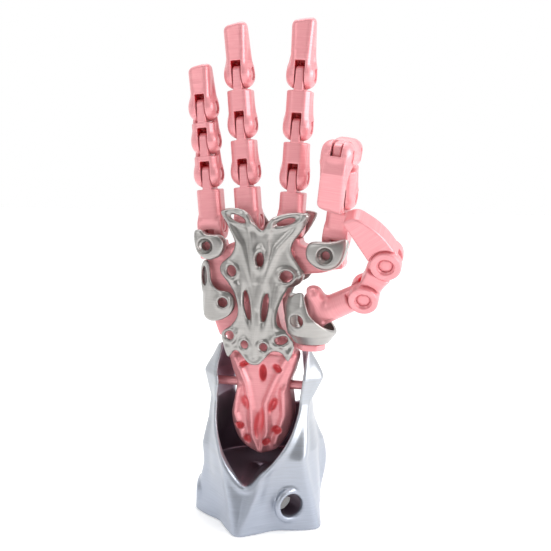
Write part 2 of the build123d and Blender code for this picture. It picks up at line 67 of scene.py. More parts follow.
away = Vector((
    math.sin(CAMERA_AZIMUTH) * math.cos(CAMERA_ELEVATION),
    -math.cos(CAMERA_AZIMUTH) * math.cos(CAMERA_ELEVATION),
    math.sin(CAMERA_ELEVATION),
))
camera_data = bpy.data.cameras.new("camera")
camera_data.lens = CAMERA_LENS
camera_data.clip_start = 0.01
camera = bpy.data.objects.new("camera", camera_data)
camera.location = CAMERA_TARGET + away * CAMERA_DISTANCE
camera.rotation_euler = (-away).to_track_quat("-Z", "Y").to_euler()
bpy.context.scene.collection.objects.link(camera)
bpy.context.scene.camera = camera
print("camera at", [round(v, 3) for v in camera.location])

# %% [markdown]
# ## Floor and light
#
# Shiny plastic shows its shape by what it mirrors, so it needs large soft lights and bright surroundings.
# Here the floor runs out almost white and the world is a pale grey.  One big lamp stands at the thumb side,
# where it whitens the side faces of the links, one in front on the other side, and one overhead.

# %% Floor, world and lamps
FLOOR_SIZE = 6.0
floor_mesh = bpy.data.meshes.new("floor")
half = FLOOR_SIZE / 2
floor_corners = [(-half, -half, 0), (half, -half, 0), (half, half, 0), (-half, half, 0)]
floor_mesh.from_pydata(floor_corners, [], [(0, 1, 2, 3)])
floor = bpy.data.objects.new("floor", floor_mesh)
bpy.context.scene.collection.objects.link(floor)
floor_material = bpy.data.materials.new("pale_floor")
floor_material.use_nodes = True
floor_shader = floor_material.node_tree.nodes["Principled BSDF"]
floor_shader.inputs["Base Color"].default_value = (0.93, 0.93, 0.93, 1)
floor_shader.inputs["Roughness"].default_value = 0.85
floor_shader.inputs["Specular IOR Level"].default_value = 0.1
floor_shader.inputs["Emission Color"].default_value = (1, 1, 1, 1)
floor_shader.inputs["Emission Strength"].default_value = 0.25
floor_mesh.materials.append(floor_material)

world = bpy.data.worlds.new("pale_room")
world.use_nodes = True
sky = world.node_tree
sky.nodes["Background"].inputs["Strength"].default_value = 1.0
sky_place = sky.nodes.new("ShaderNodeTexCoord")
sky_split = sky.nodes.new("ShaderNodeSeparateXYZ")
sky_ramp = sky.nodes.new("ShaderNodeMapRange")
for title, value in (("From Min", -0.75), ("From Max", -0.1), ("To Min", 0.22), ("To Max", 1.0)):
    sky_ramp.inputs[title].default_value = value
sky.links.new(sky_place.outputs["Generated"], sky_split.inputs[0])
sky.links.new(sky_split.outputs["Y"], sky_ramp.inputs["Value"])
sky.links.new(sky_ramp.outputs[0], sky.nodes["Background"].inputs["Color"])
bpy.context.scene.world = world
bpy.context.scene.view_settings.view_transform = "Standard"  # keeps the plastic's strong colours


def add_area_light(name, location, target, size, power, colour=(1, 1, 1)):
    """A square lamp that faces its target."""
    data = bpy.data.lights.new(name, "AREA")
    data.energy = power
    data.size = size
    data.color = colour
    lamp = bpy.data.objects.new(name, data)
    lamp.location = location
    lamp.rotation_euler = (Vector(target) - Vector(location)).to_track_quat("-Z", "Y").to_euler()
    bpy.context.scene.collection.objects.link(lamp)


HAND_MIDDLE = (0.0, 0.0, 0.14)
add_area_light("thumb_side_lamp", (0.75, -0.15, 0.35), HAND_MIDDLE, 0.5, 3.6)
add_area_light("front_lamp", (-0.45, -0.8, 0.55), HAND_MIDDLE, 0.5, 1.6)
add_area_light("overhead_lamp", (0.0, 0.15, 1.0), HAND_MIDDLE, 0.8, 4.0)
print("floor, world and 3 lamps")

# %% [markdown]
# ## Silk print plastic
#
# Silk filament is a plastic with a pearly filler: it mirrors like satin metal, keeps its own colour in the
# mirrored light, and shows the print's layers as fine lines across it.  A Principled shader with some
# metallic, a low roughness and a bump from the layers does this.  Every print carries two attributes that
# its maker function writes: `print_height`, millimetres along the direction it was printed in, and
# `recess_shade`, from 0 on open faces to 1 deep in a slot.  By `recess_shade` the material paints in a deep,
# rich colour: painted shade, and painted light bounced between the walls.

# %% Silk material maker
LAYER_HEIGHT = 0.42  # millimetres between the layer lines that show


def link_nodes(tree, *pairs):
    for output, target in pairs:
        tree.links.new(output, target)


def silk_plastic(name, pale, body, deep, metallic, roughness, top=None, cad=False):
    """A layered silk print: pale and body colours in soft streaks, and a deep colour painted in the recesses
    as shade.

    With top, the body colour fades to it up the piece: painted light, changing with height. A CAD node has no
    attributes, so with cad its height is its object Z instead.
    """
    material = bpy.data.materials.new(name)
    material.use_nodes = True
    tree = material.node_tree
    shader = tree.nodes["Principled BSDF"]
    shader.inputs["Metallic"].default_value = metallic
    shader.inputs["Coat Weight"].default_value = 0.25
    shader.inputs["Coat Roughness"].default_value = 0.25
    shader.inputs["Sheen Weight"].default_value = 0.1
    shader.inputs["Sheen Roughness"].default_value = 0.4

    place = tree.nodes.new("ShaderNodeTexCoord")
    spread = tree.nodes.new("ShaderNodeSeparateXYZ")
    tree.links.new(place.outputs["Object"], spread.inputs[0])
    recess_shade = tree.nodes.new("ShaderNodeAttribute")
    recess_shade.attribute_name = "recess_shade"
    if cad:
        scaled = tree.nodes.new("ShaderNodeMath")
        scaled.operation = "MULTIPLY"
        scaled.inputs[1].default_value = 1000.0
        tree.links.new(spread.outputs["Z"], scaled.inputs[0])
        height_out = scaled.outputs[0]
    else:
        height = tree.nodes.new("ShaderNodeAttribute")
        height.attribute_name = "print_height"
        height_out = height.outputs["Fac"]

    # streaks: noise that changes quickly along the print height and slowly round each layer
    where = tree.nodes.new("ShaderNodeCombineXYZ")
    across = tree.nodes.new("ShaderNodeMath")
    across.operation = "MULTIPLY"
    across.inputs[1].default_value = 40.0
    tree.links.new(spread.outputs["X"], across.inputs[0])
    link_nodes(tree, (across.outputs[0], where.inputs["X"]), (height_out, where.inputs["Z"]))
    streaks = tree.nodes.new("ShaderNodeTexNoise")
    streaks.inputs["Scale"].default_value = 1.6
    streaks.inputs["Detail"].default_value = 4.0
    link_nodes(tree, (where.outputs[0], streaks.inputs["Vector"]))

    tint = tree.nodes.new("ShaderNodeMix")
    tint.data_type = "RGBA"
    tint.inputs["A"].default_value = (*body, 1)
    tint.inputs["B"].default_value = (*pale, 1)
    # painted light: the body colour changes with height, as the light on the piece does
    if top:
        painted_light_fade = tree.nodes.new("ShaderNodeMix")
        painted_light_fade.data_type = "RGBA"
        painted_light_fade.inputs["A"].default_value = (*body, 1)
        painted_light_fade.inputs["B"].default_value = (*top, 1)
        rise = tree.nodes.new("ShaderNodeMapRange")
        rise.inputs["From Min"].default_value = 0.012
        rise.inputs["From Max"].default_value = 0.062
        link_nodes(tree, (spread.outputs["Z"], rise.inputs["Value"]),
                   (rise.outputs[0], painted_light_fade.inputs["Factor"]))
        link_nodes(tree, (painted_light_fade.outputs["Result"], tint.inputs["A"]))
    link_nodes(tree, (streaks.outputs["Fac"], tint.inputs["Factor"]))
    # painted shade: the recess attribute mixes in the deep colour, for shade and bounced light in slots and
    # hollows
    shade = tree.nodes.new("ShaderNodeMix")
    shade.data_type = "RGBA"
    shade.inputs["B"].default_value = (*deep, 1)
    link_nodes(tree, (tint.outputs["Result"], shade.inputs["A"]),
               (recess_shade.outputs["Fac"], shade.inputs["Factor"]))
    link_nodes(tree, (shade.outputs["Result"], shader.inputs["Base Color"]))

    # layer lines: a sine along the print height, broken up a little by the streaks
    turn = tree.nodes.new("ShaderNodeMath")
    turn.operation = "MULTIPLY"
    turn.inputs[1].default_value = 2 * math.pi / LAYER_HEIGHT
    wave = tree.nodes.new("ShaderNodeMath")
    wave.operation = "SINE"
    mixed = tree.nodes.new("ShaderNodeMath")
    mixed.operation = "MULTIPLY_ADD"
    mixed.inputs[1].default_value = 0.35
    bump = tree.nodes.new("ShaderNodeBump")
    bump.inputs["Strength"].default_value = 0.35
    bump.inputs["Distance"].default_value = 0.00004
    link_nodes(tree, (height_out, turn.inputs[0]), (turn.outputs[0], wave.inputs[0]))
    link_nodes(tree, (wave.outputs[0], mixed.inputs[0]), (streaks.outputs["Fac"], mixed.inputs[2]))
    link_nodes(tree, (mixed.outputs[0], bump.inputs["Height"]), (bump.outputs[0], shader.inputs["Normal"]))

    gloss = tree.nodes.new("ShaderNodeMapRange")
    gloss.inputs["To Min"].default_value = roughness - 0.05
    gloss.inputs["To Max"].default_value = roughness + 0.08
    link_nodes(tree, (streaks.outputs["Fac"], gloss.inputs["Value"]),
               (gloss.outputs[0], shader.inputs["Roughness"]))
    return material


# The third colour of each material is painted shade: the deep tone put into slots, hollows and the stand's
# inside.
PINK_PALE, PINK_BODY, PINK_PAINTED_SHADE = (0.90, 0.43, 0.45), (0.72, 0.22, 0.25), (0.80, 0.015, 0.03)
PINK = silk_plastic("pink_silk", PINK_PALE, PINK_BODY, PINK_PAINTED_SHADE, 0.35, 0.34)
SILVER = silk_plastic("silver_silk", (0.49, 0.475, 0.46), (0.31, 0.30, 0.285), (0.10, 0.08, 0.08), 0.9, 0.29)
# The stand's colour runs from bluish low down to plain grey higher up: painted bluish reflection and shade.
SILVER_PAINTED_BLUE_SHADE = silk_plastic("silver_silk_painted_blue_shade", (0.46, 0.50, 0.58), (0.30, 0.33, 0.40), (0.24, 0.18, 0.23),
                           0.75, 0.34, top=(0.38, 0.38, 0.37))
PINK_PLAIN = silk_plastic("pink_silk_plain", PINK_PALE, PINK_BODY, PINK_PAINTED_SHADE, 0.35, 0.34, cad=True)
print("materials:", PINK.name, SILVER.name, SILVER_PAINTED_BLUE_SHADE.name)

# %% [markdown]
# ## Shapes as distance fields
#
# The prints flow into each other like bone, which is hard to do with boxes and cylinders.  A distance field
# makes it easy: a function gives, for every point of a grid, how far it is from the surface, negative
# inside. Two shapes join softly with a smooth minimum, and one is carved from another with a smooth
# maximum.  At the end OpenVDB wraps a mesh of small even quads round the zero level.  All fields here
# are in millimetres.

# %% Distance field toolbox
MM = 0.001


def soft_min(a, b, blend):
    """Union of two fields, with a fillet about as wide as blend."""
    mix = np.clip(0.5 + 0.5 * (b - a) / blend, 0, 1)
    return b + (a - b) * mix - blend * mix * (1 - mix)


def soft_max(a, b, blend):
    """Intersection of two fields with rounded edges. Carving b out of a is soft_max(a, -b, blend)."""
    return -soft_min(-a, -b, blend)


def grid(low, high, step):
    """Coordinates of every grid point between two corners."""
    axes = [np.arange(lo, hi + step, step, dtype=np.float32) for lo, hi in zip(low, high)]
    return np.meshgrid(*axes, indexing="ij")


def ball(points, centre, radius):
    x, y, z = points
    return np.sqrt((x - centre[0]) ** 2 + (y - centre[1]) ** 2 + (z - centre[2]) ** 2) - radius


def ellipsoid(points, centre, radii):
    squares = (((axis - middle) / radius) ** 2 for axis, middle, radius in zip(points, centre, radii))
    return (np.sqrt(sum(squares)) - 1) * min(radii)


def rod(points, start, end, start_radius, end_radius=None):
    """A round bar between two points, tapering from one radius to the other."""
    end_radius = start_radius if end_radius is None else end_radius
    x, y, z = points
    dx, dy, dz = (end[i] - start[i] for i in range(3))
    share = ((x - start[0]) * dx + (y - start[1]) * dy + (z - start[2]) * dz) / (dx * dx + dy * dy + dz * dz)
    share = np.clip(share, 0, 1)
    asides = ((axis - low - share * run) ** 2 for axis, low, run in zip(points, start, (dx, dy, dz)))
    gap = np.sqrt(sum(asides))
    return gap - (start_radius + (end_radius - start_radius) * share)


def slab(value, low, high):
    """The space between two levels of a coordinate."""
    return np.maximum(low - value, value - high)


def print_mesh(name, points, field, basis, material, recess_shade=None, up=None):
    """Wraps a mesh round a field. basis takes the field's millimetres to the row's metres."""
    x, y, z = points
    step = float(x[1, 0, 0] - x[0, 0, 0])
    volume = openvdb.FloatGrid(3.0)
    volume.copyFromArray(np.ascontiguousarray(np.clip(field, -3, 3), dtype=np.float32))
    corners, quads = volume.convertToQuads(isovalue=0)
    local = corners * step + np.array([x[0, 0, 0], y[0, 0, 0], z[0, 0, 0]])
    placed = np.c_[local, np.ones(len(local))] @ np.array(basis).T
    mesh = bpy.data.meshes.new(name)
    mesh.vertices.add(len(placed))
    mesh.vertices.foreach_set("co", placed[:, :3].astype(np.float32).ravel())
    mesh.loops.add(4 * len(quads))
    mesh.loops.foreach_set("vertex_index", quads.astype(np.int32).ravel())
    mesh.polygons.add(len(quads))
    mesh.polygons.foreach_set("loop_start", np.arange(0, 4 * len(quads), 4, dtype=np.int32))
    mesh.update(calc_edges=True)
    mesh.validate()
    mesh.shade_smooth()
    height = local[:, 2] if up is None else local @ np.array(up)
    mesh.attributes.new("print_height", "FLOAT", "POINT").data.foreach_set("value", height.astype(np.float32))
    # painted shade: how much of the material's deep colour each vertex takes
    depth = np.zeros(len(local)) if recess_shade is None else np.clip(recess_shade(*local.T), 0, 1)
    mesh.attributes.new("recess_shade", "FLOAT", "POINT").data.foreach_set("value", depth.astype(np.float32))
    mesh.materials.append(material)
    piece = bpy.data.objects.new(name, mesh)
    bpy.context.scene.collection.objects.link(piece)
    print(name, len(mesh.polygons), "faces")
    return piece


# %% [markdown]
# ## Joint frames
#
# Every link is drawn in its own axes: x along its hinge, y to the back of the link and z along it.  The
# hinge axes and centres come from the frame's joints, and a link's direction is the line to its next
# joint.  Only the last link of each chain needs its rest bend, because no joint follows it.

# %% Frames of all the links
FINGERS = ("little", "ring", "middle", "index")
FINGER_JOINTS = ("knuckle", "first_joint", "second_joint", "tip_joint")
FINGER_NODES = ("proximal_link", "middle_link", "upper_link", "tip")
THUMB_JOINTS = ("root_joint", "middle_joint", "tip_joint")
THUMB_NODES = ("metacarpal_link", "proximal_link", "tip")
TIP_BEND = {"little": 0.0, "ring": 0.0, "middle": 0.0, "index": 83.0, "thumb": 64.5}
TIP_LENGTH = {"little": 23.0, "ring": 27.0, "middle": 29.0, "index": 28.0, "thumb": 31.0}


def joint_centre(joint):
    return Vector(joint["pos_m"])


def chain(finger, joint_names):
    """For each link of a chain: the basis from its own millimetres to the row's metres, and its length."""
    found = [joints[f"{finger}_{name}"] for name in joint_names]
    links = []
    for index, joint in enumerate(found):
        axis = Vector(joint["axis"]).normalized()
        if index + 1 < len(found):
            reach = joint_centre(found[index + 1]) - joint_centre(joint)
            direction = reach.normalized()
            length = reach.length / MM
        else:
            direction = Matrix.Rotation(math.radians(TIP_BEND[finger]), 3, axis) @ direction
            length = TIP_LENGTH[finger]
        back = direction.cross(axis)
        turn = Matrix((axis, back, direction)).transposed().to_4x4()
        links.append((Matrix.Translation(joint_centre(joint)) @ turn @ Matrix.Scale(MM, 4), length))
    return links


chains = {finger: chain(finger, FINGER_JOINTS) for finger in FINGERS}
chains["thumb"] = chain("thumb", THUMB_JOINTS)
for finger, links in chains.items():
    print(finger, "link lengths", [round(length, 1) for _, length in links])

# %% [markdown]
# ## Finger links
#
# A link is a chamfered bar with two bulging ears at its lower joint and a flat tongue at its upper one.  The
# ears are squashed balls, so they stay inside the round space that the joint needs.  A slot between the ears
# takes the tongue of the link below.  The slot's top is a little higher than the tongue's, which leaves the
# small window that shows bright at each joint.

# %% Link sizes and the shared joint shapes
BODY_HALF = 6.8
DEPTH_HALF = 7.0
EAR_RADIUS = 7.75
EAR_HALF = 8.4
TONGUE_HALF = 2.45
SLOT_HALF = 2.75
SLOT_TOP = 7.1
WEB_FLOOR = 0.8  # how high along the link the web starts
WEB_BACK = 0.5  # how far behind the hinge it starts
TONGUE_TOP = 4.4
JOINT_GAP = 0.55
WEB_RADIUS = 7.0  # the slot is closed at the back outside this radius, clear of the turning tongue
PIN_SEAT_RADIUS = 3.65
PIN_SEAT_DEPTH = 7.2
FINGER_GRID = 0.4


def squashed_ball(x, y, z, half_width, radius, fullness):
    """A ball squashed along the hinge, fuller than an ellipsoid."""
    ring = np.sqrt(y * y + z * z)
    scaled = ((np.abs(x) / half_width) ** fullness + (ring / radius) ** fullness) ** (1 / fullness)
    return (scaled - 1) * radius


def bar(x, y, chamfer):
    """A rectangular bar along z with chamfered edges."""
    sides = soft_max(np.abs(x) - BODY_HALF, np.abs(y) - DEPTH_HALF, 0.6)
    corner = (np.abs(x) + np.abs(y) - BODY_HALF - DEPTH_HALF + chamfer) / math.sqrt(2)
    return soft_max(sides, corner, 1.0)


def carve_joint(field, x, y, z, slot_floor=None, closed_back=True):
    """Cuts the slot for the tongue below, the pin's hole and the seats of its heads."""
    slot = soft_max(np.abs(x) - SLOT_HALF, z - SLOT_TOP, 0.3)
    if slot_floor is not None:
        slot = np.maximum(slot, slot_floor)
    ring = np.sqrt(y * y + z * z)
    if closed_back:
        web = np.maximum(WEB_RADIUS - ring, np.maximum(WEB_FLOOR - z, WEB_BACK - y))
        slot = np.maximum(slot, -web)
    field = soft_max(field, -slot, 0.35)
    seat = np.maximum(ring - PIN_SEAT_RADIUS, PIN_SEAT_DEPTH - 1.5 - np.abs(x))
    field = soft_max(field, -seat, 0.5)
    return np.maximum(field, 1.55 - ring)


def tongue(x, y, z, length, shoulder):
    """The flat end that the next link's ears straddle. Its palm face is flush with the bar."""
    reach = z - length
    front = soft_max(-y - 6.3, -y * 0.75 + reach * 0.66 - 6.3, 0.8)
    back = np.sqrt(np.maximum(y, 0) ** 2 + np.maximum(reach, 0) ** 2) - 6.2
    taper = TONGUE_HALF - 0.04 * np.clip(reach + 6, 0, 12)
    shape = soft_max(np.maximum(front, back), reach - TONGUE_TOP, 0.8)
    shape = np.maximum(shape, shoulder - 2 - z)
    shape = soft_max(shape, np.abs(x) - taper, 0.5)
    return np.maximum(shape, 1.55 - np.sqrt(y * y + reach * reach))


def slot_shade_mask(x, y, z):
    """How much painted shade a joint's slot takes: 1 inside the slot, fading to 0 at its mouth."""
    sides = np.clip((SLOT_HALF + 0.5 - np.abs(x)) * 3, 0, 1)
    bottom = np.clip((z - 2.0) / 2, 0, 1)
    return sides * bottom * (np.abs(y) < 6.4) * (z < SLOT_TOP + 0.6)


def link_field(x, y, z, length, next_radius=EAR_RADIUS):
    shoulder = length - next_radius - JOINT_GAP
    body = soft_max(bar(x, y, 3.0), slab(z, 0.0, shoulder), 0.9)
    ears = squashed_ball(x, y, z, EAR_HALF, EAR_RADIUS, 2.5)
    fin = rod((np.abs(x), y, z), (5.2, 0, 1), (5.9, 1.0, 13.5), 3.2, 1.2)
    ears = soft_min(ears, fin, 1.6)
    field = soft_min(body, ears, 0.8)
    field = carve_joint(field, x, y, z)
    return np.minimum(field, tongue(x, y, z, length, shoulder))


def knuckle_link_field(x, y, z, length, next_radius=EAR_RADIUS):
    """The lowest link of a finger: a plain block with a rounded foot, whose front hides most of its slot."""
    shoulder = length - next_radius - JOINT_GAP
    body = soft_max(bar(x, y, 2.6), slab(z, 0.0, shoulder), 0.9)
    foot = soft_max(np.sqrt(y * y + z * z) - EAR_RADIUS, np.abs(x) - BODY_HALF - 0.3, 1.6)
    field = soft_min(body, foot, 0.8)
    skirt = -y - 5.1 + 0 * x
    field = carve_joint(field, x, y, z, slot_floor=np.where(z > -1.5, skirt, -1.0))
    return np.minimum(field, tongue(x, y, z, length, shoulder))


def tip_field(x, y, z, length):
    """A fingertip: wider towards its end, thinned from the back, with a blunt slanted top."""
    flare = 0.045 * np.clip(z - 6, 0, 40)
    palm = -y - DEPTH_HALF + 0.02 * z
    back = (y - DEPTH_HALF) * 0.94 + 0.34 * (z - 0.34 * length)
    side = np.abs(x) - (BODY_HALF - 0.9) - flare * 0.6
    edge = (np.abs(x) - y * 0.9) * 0.74 - (BODY_HALF + DEPTH_HALF - 3.6) * 0.72 - flare * 0.5
    top = z * 0.985 - 0.16 * x - length * 0.975
    shape = soft_max(palm, np.maximum(back, y - DEPTH_HALF), 1.6)
    shape = soft_max(shape, side, 1.6)
    shape = soft_max(shape, edge, 1.4)
    shape = soft_max(shape, top, 3.2)
    shape = np.maximum(shape, -z)
    ears = squashed_ball(x, y, z, EAR_HALF, EAR_RADIUS, 2.5)
    fin = rod((np.abs(x), y, z), (5.2, 0, 1), (5.4, 1.0, 14.0), 3.2, 1.0)
    field = soft_min(shape, soft_min(ears, fin, 1.6), 1.0)
    crease = ball((x * 0.12, y + DEPTH_HALF + 1.4, z - SLOT_TOP - 5.5), (0, 0, 0), 1.6)
    field = soft_max(field, -crease, 0.8)
    return carve_joint(field, x, y, z)


def finish_piece(piece, body, slot, *nodes):
    """Every piece rides on its body and stands for its CAD nodes. The slot argument is not used."""
    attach(piece, body)
    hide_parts(*nodes)


PINK_SLOT = "pink_silk_plastic"
SILVER_SLOT = "silver_silk_plastic"
print("link, knuckle link and tip fields ready")

# %% Grow the links of the four fingers
for finger in FINGERS:
    for (basis, length), node in zip(chains[finger], FINGER_NODES):
        part = node.removesuffix("_link")
        low = (-10.0, -9.0, -9.0)
        high = (10.0, 9.0, length + 6.5)
        x, y, z = points = grid(low, high, FINGER_GRID)
        if node == "tip":
            field = tip_field(x, y, z, length)
        elif node == "proximal_link":
            field = knuckle_link_field(x, y, z, length)
        else:
            field = link_field(x, y, z, length)
        piece = print_mesh(f"{finger}_{part}_print", points, field, basis, PINK, recess_shade=slot_shade_mask)
        finish_piece(piece, f"{finger}_{part}", PINK_SLOT, f"{finger}_{node}")

# %% [markdown]
# ## Thumb links
#
# The thumb is printed like the fingers but its joints end in flat round discs, and its hinges face the palm,
# so the discs show from the front: a raised rim, a fine dark gap round it and a dished middle with the pin's
# head in it.  The first link starts in a ball inside the thumb's root shell, with a hump over it.

# %% Thumb link shapes
DISC_RADIUS = 7.9
DISC_HALF = 8.3
DISH_RADIUS = 4.4
THUMB_NEXT_RADIUS = 7.9


def disc_ears(x, y, z):
    """Two flat round discs with softened rims and dished middles."""
    ring = np.sqrt(y * y + z * z)
    discs = soft_max(ring - DISC_RADIUS, np.abs(x) - DISC_HALF, 1.2)
    dish = soft_max(ring - DISH_RADIUS, DISC_HALF - 1.3 - np.abs(x), 0.8)
    return soft_max(discs, -dish, 0.7)


def thumb_bar(x, y, z, shoulder):
    """A rounded bar that narrows a little in the middle."""
    waist = 0.9 * np.sin(np.clip(z / shoulder, 0, 1) * math.pi)
    sides = soft_max(np.abs(x) - BODY_HALF + 0.3 + 0.6 * waist, np.abs(y) - DEPTH_HALF + 0.2 + waist, 3.2)
    return soft_max(sides, slab(z, 0.0, shoulder), 0.8)


def thumb_link_field(x, y, z, length):
    shoulder = length - THUMB_NEXT_RADIUS - JOINT_GAP
    field = soft_min(thumb_bar(x, y, z, shoulder), disc_ears(x, y, z), 0.7)
    groove = np.abs(np.sqrt(y * y + z * z) - DISC_RADIUS - 0.35) - 0.45
    groove = np.maximum(groove, BODY_HALF - 2.6 - np.abs(x))
    field = soft_max(field, -groove, 0.3)
    field = carve_joint(field, x, y, z)
    return np.minimum(field, tongue(x, y, z, length, shoulder))


def thumb_root_field(x, y, z, length):
    """The first thumb link: a ball in the root shell, a hump above it and a bar to the first disc."""
    shoulder = length - THUMB_NEXT_RADIUS - JOINT_GAP
    root = squashed_ball(x, y, z, 8.3, 7.8, 2.6)
    swell = rod((x * 0.92, y, z), (0, 0.0, 7), (0, 0, shoulder - 2), 6.9, 6.5)
    hump = rod((x, y, z), (0, -3.5, 7.0), (0, -11.0, 8.2), 6.6, 5.4)
    field = soft_min(soft_min(root, swell, 2.5), hump, 2.2)
    field = soft_max(field, z - shoulder, 0.8)
    dimple = rod((x, y, z), (7.5, 3.0, 8.0), (7.5, 5.0, 13.0), 1.7)
    field = soft_max(field, -dimple, 1.0)
    field = carve_joint(field, x, y, z, closed_back=False)
    return np.minimum(field, tongue(x, y, z, length, shoulder))


def thumb_tip_field(x, y, z, length):
    """The thumb's last link: a broad flat-sided tip that narrows to a blunt slanted end."""
    run = np.clip(z / length, 0, 1)
    palm = -y - 7.0 + 3.4 * run
    back = y - 7.6 - 1.6 * np.sin(run * math.pi) + 4.6 * run * run
    side = np.abs(x) - 6.7 + 0.5 * run
    top = z * 0.97 + y * 0.22 - length * 0.97
    shape = soft_max(soft_max(palm, back, 2.6), side, 1.8)
    shape = soft_max(shape, top, 3.0)
    shape = np.maximum(shape, -z)
    field = soft_min(shape, disc_ears(x, y, z), 0.7)
    groove = np.abs(np.sqrt(y * y + z * z) - DISC_RADIUS - 0.35) - 0.4
    groove = np.maximum(groove, BODY_HALF - 1.8 - np.abs(x))
    field = soft_max(field, -groove, 0.3)
    return carve_joint(field, x, y, z)


# %% Grow the three thumb links
THUMB_FIELDS = (thumb_root_field, thumb_link_field, thumb_tip_field)
for (basis, length), node, make_field in zip(chains["thumb"], THUMB_NODES, THUMB_FIELDS):
    part = node.removesuffix("_link")
    x, y, z = points = grid((-10.0, -19.0, -10.0), (10.0, 11.0, length + 6.5), FINGER_GRID)
    field = make_field(x, y, z, length)
    piece = print_mesh(f"thumb_{part}_print", points, field, basis, PINK, recess_shade=slot_shade_mask)
    finish_piece(piece, f"thumb_{part}", PINK_SLOT, f"thumb_{node}")

# %% [markdown]
# ## Hinge pins
#
# Every hinge has the same pin, so one Geometry Nodes tree makes them all: a shaft, and a low domed head at
# each end.  Its named inputs are the pin's length, its radii and the head's thickness.  A modifier input is
# set by its identifier, which `interface.items_tree` gives, because a name can be shared by two inputs.

# %% The pin's node tree
PIN_SIZES = {"Half length": 7.25, "Shaft radius": 1.45, "Head radius": 3.5, "Head thickness": 1.3}


def node_group(name, inputs, material):
    """An empty geometry tree with float inputs, ending in Realize Instances and Set Material."""
    tree = bpy.data.node_groups.new(name, "GeometryNodeTree")
    for title, value in inputs.items():
        socket = tree.interface.new_socket(title, in_out="INPUT", socket_type="NodeSocketFloat")
        socket.default_value = value
    tree.interface.new_socket("Mesh", in_out="OUTPUT", socket_type="NodeSocketGeometry")
    entry = tree.nodes.new("NodeGroupInput")
    leave = tree.nodes.new("NodeGroupOutput")
    realize = tree.nodes.new("GeometryNodeRealizeInstances")
    paint = tree.nodes.new("GeometryNodeSetMaterial")
    paint.inputs["Material"].default_value = material
    link_nodes(tree, (realize.outputs[0], paint.inputs[0]), (paint.outputs[0], leave.inputs[0]))
    return tree, entry, realize


def math_node(tree, operation, a, b=None):
    """A math node whose inputs are sockets or numbers."""
    node = tree.nodes.new("ShaderNodeMath")
    node.operation = operation
    for slot_index, value in enumerate((a, b)):
        if value is None:
            continue
        if isinstance(value, (int, float)):
            node.inputs[slot_index].default_value = value
        else:
            tree.links.new(value, node.inputs[slot_index])
    return node.outputs[0]


SHAFT_SHARE = 1.96  # the shaft's length over the pin's half length, so it ends inside both heads
pin_tree, pin_in, pin_realize = node_group("hinge_pin", PIN_SIZES, PINK)
shaft = pin_tree.nodes.new("GeometryNodeMeshCylinder")
shaft.inputs["Vertices"].default_value = 32
link_nodes(pin_tree, (pin_in.outputs["Shaft radius"], shaft.inputs["Radius"]))
depth = math_node(pin_tree, "MULTIPLY", pin_in.outputs["Half length"], SHAFT_SHARE)
pin_tree.links.new(depth, shaft.inputs["Depth"])
join = pin_tree.nodes.new("GeometryNodeJoinGeometry")
pin_tree.links.new(shaft.outputs["Mesh"], join.inputs[0])
for side in (1, -1):
    head = pin_tree.nodes.new("GeometryNodeMeshUVSphere")
    head.inputs["Segments"].default_value = 40
    head.inputs["Rings"].default_value = 20
    head.inputs["Radius"].default_value = 1.0
    shape = pin_tree.nodes.new("GeometryNodeTransform")
    size = pin_tree.nodes.new("ShaderNodeCombineXYZ")
    offset = pin_tree.nodes.new("ShaderNodeCombineXYZ")
    seat = math_node(pin_tree, "SUBTRACT", pin_in.outputs["Half length"], pin_in.outputs["Head thickness"])
    link_nodes(pin_tree, (pin_in.outputs["Head radius"], size.inputs["X"]),
               (pin_in.outputs["Head radius"], size.inputs["Y"]))
    link_nodes(pin_tree, (pin_in.outputs["Head thickness"], size.inputs["Z"]),
               (size.outputs[0], shape.inputs["Scale"]))
    pin_tree.links.new(math_node(pin_tree, "MULTIPLY", seat, side), offset.inputs["Z"])
    link_nodes(pin_tree, (head.outputs["Mesh"], shape.inputs["Geometry"]),
               (offset.outputs[0], shape.inputs["Translation"]))
    pin_tree.links.new(shape.outputs[0], join.inputs[0])
pin_tree.links.new(join.outputs[0], pin_realize.inputs[0])
print("pin tree:", len(pin_tree.nodes), "nodes")


def grow(tree, name, basis, **sizes):
    """Runs a tree on an empty mesh, and keeps the result as a plain mesh placed by basis."""
    carrier = bpy.data.objects.new(name, bpy.data.meshes.new(name))
    bpy.context.scene.collection.objects.link(carrier)
    modifier = carrier.modifiers.new("grow", "NODES")
    modifier.node_group = tree
    for item in tree.interface.items_tree:
        if item.in_out == "INPUT" and item.name in sizes:
            modifier[item.identifier] = sizes[item.name]
    evaluated = carrier.evaluated_get(bpy.context.evaluated_depsgraph_get())
    mesh = bpy.data.meshes.new_from_object(evaluated)
    carrier.modifiers.clear()
    carrier.data = mesh
    carrier.name = name
    heights = np.zeros(len(mesh.vertices) * 3, np.float32)
    mesh.vertices.foreach_get("co", heights)
    mesh.attributes.new("print_height", "FLOAT", "POINT").data.foreach_set("value", heights[2::3].copy())
    mesh.attributes.new("recess_shade", "FLOAT", "POINT")
    mesh.transform(basis)
    mesh.shade_smooth()
    return carrier


# %% A pin in every hinge
LIE_ALONG_HINGE = Matrix.Rotation(math.radians(90), 4, "Y")
for finger, links in chains.items():
    nodes = THUMB_NODES if finger == "thumb" else FINGER_NODES
    for (basis, _), node in zip(links, nodes):
        part = node.removesuffix("_link")
        pin = grow(pin_tree, f"{finger}_{part}_pin_print", basis @ LIE_ALONG_HINGE, **PIN_SIZES)
        finish_piece(pin, f"{finger}_{part}", PINK_SLOT, f"{finger}_{part}_pin")
print("pins:", sum(len(links) for links in chains.values()))

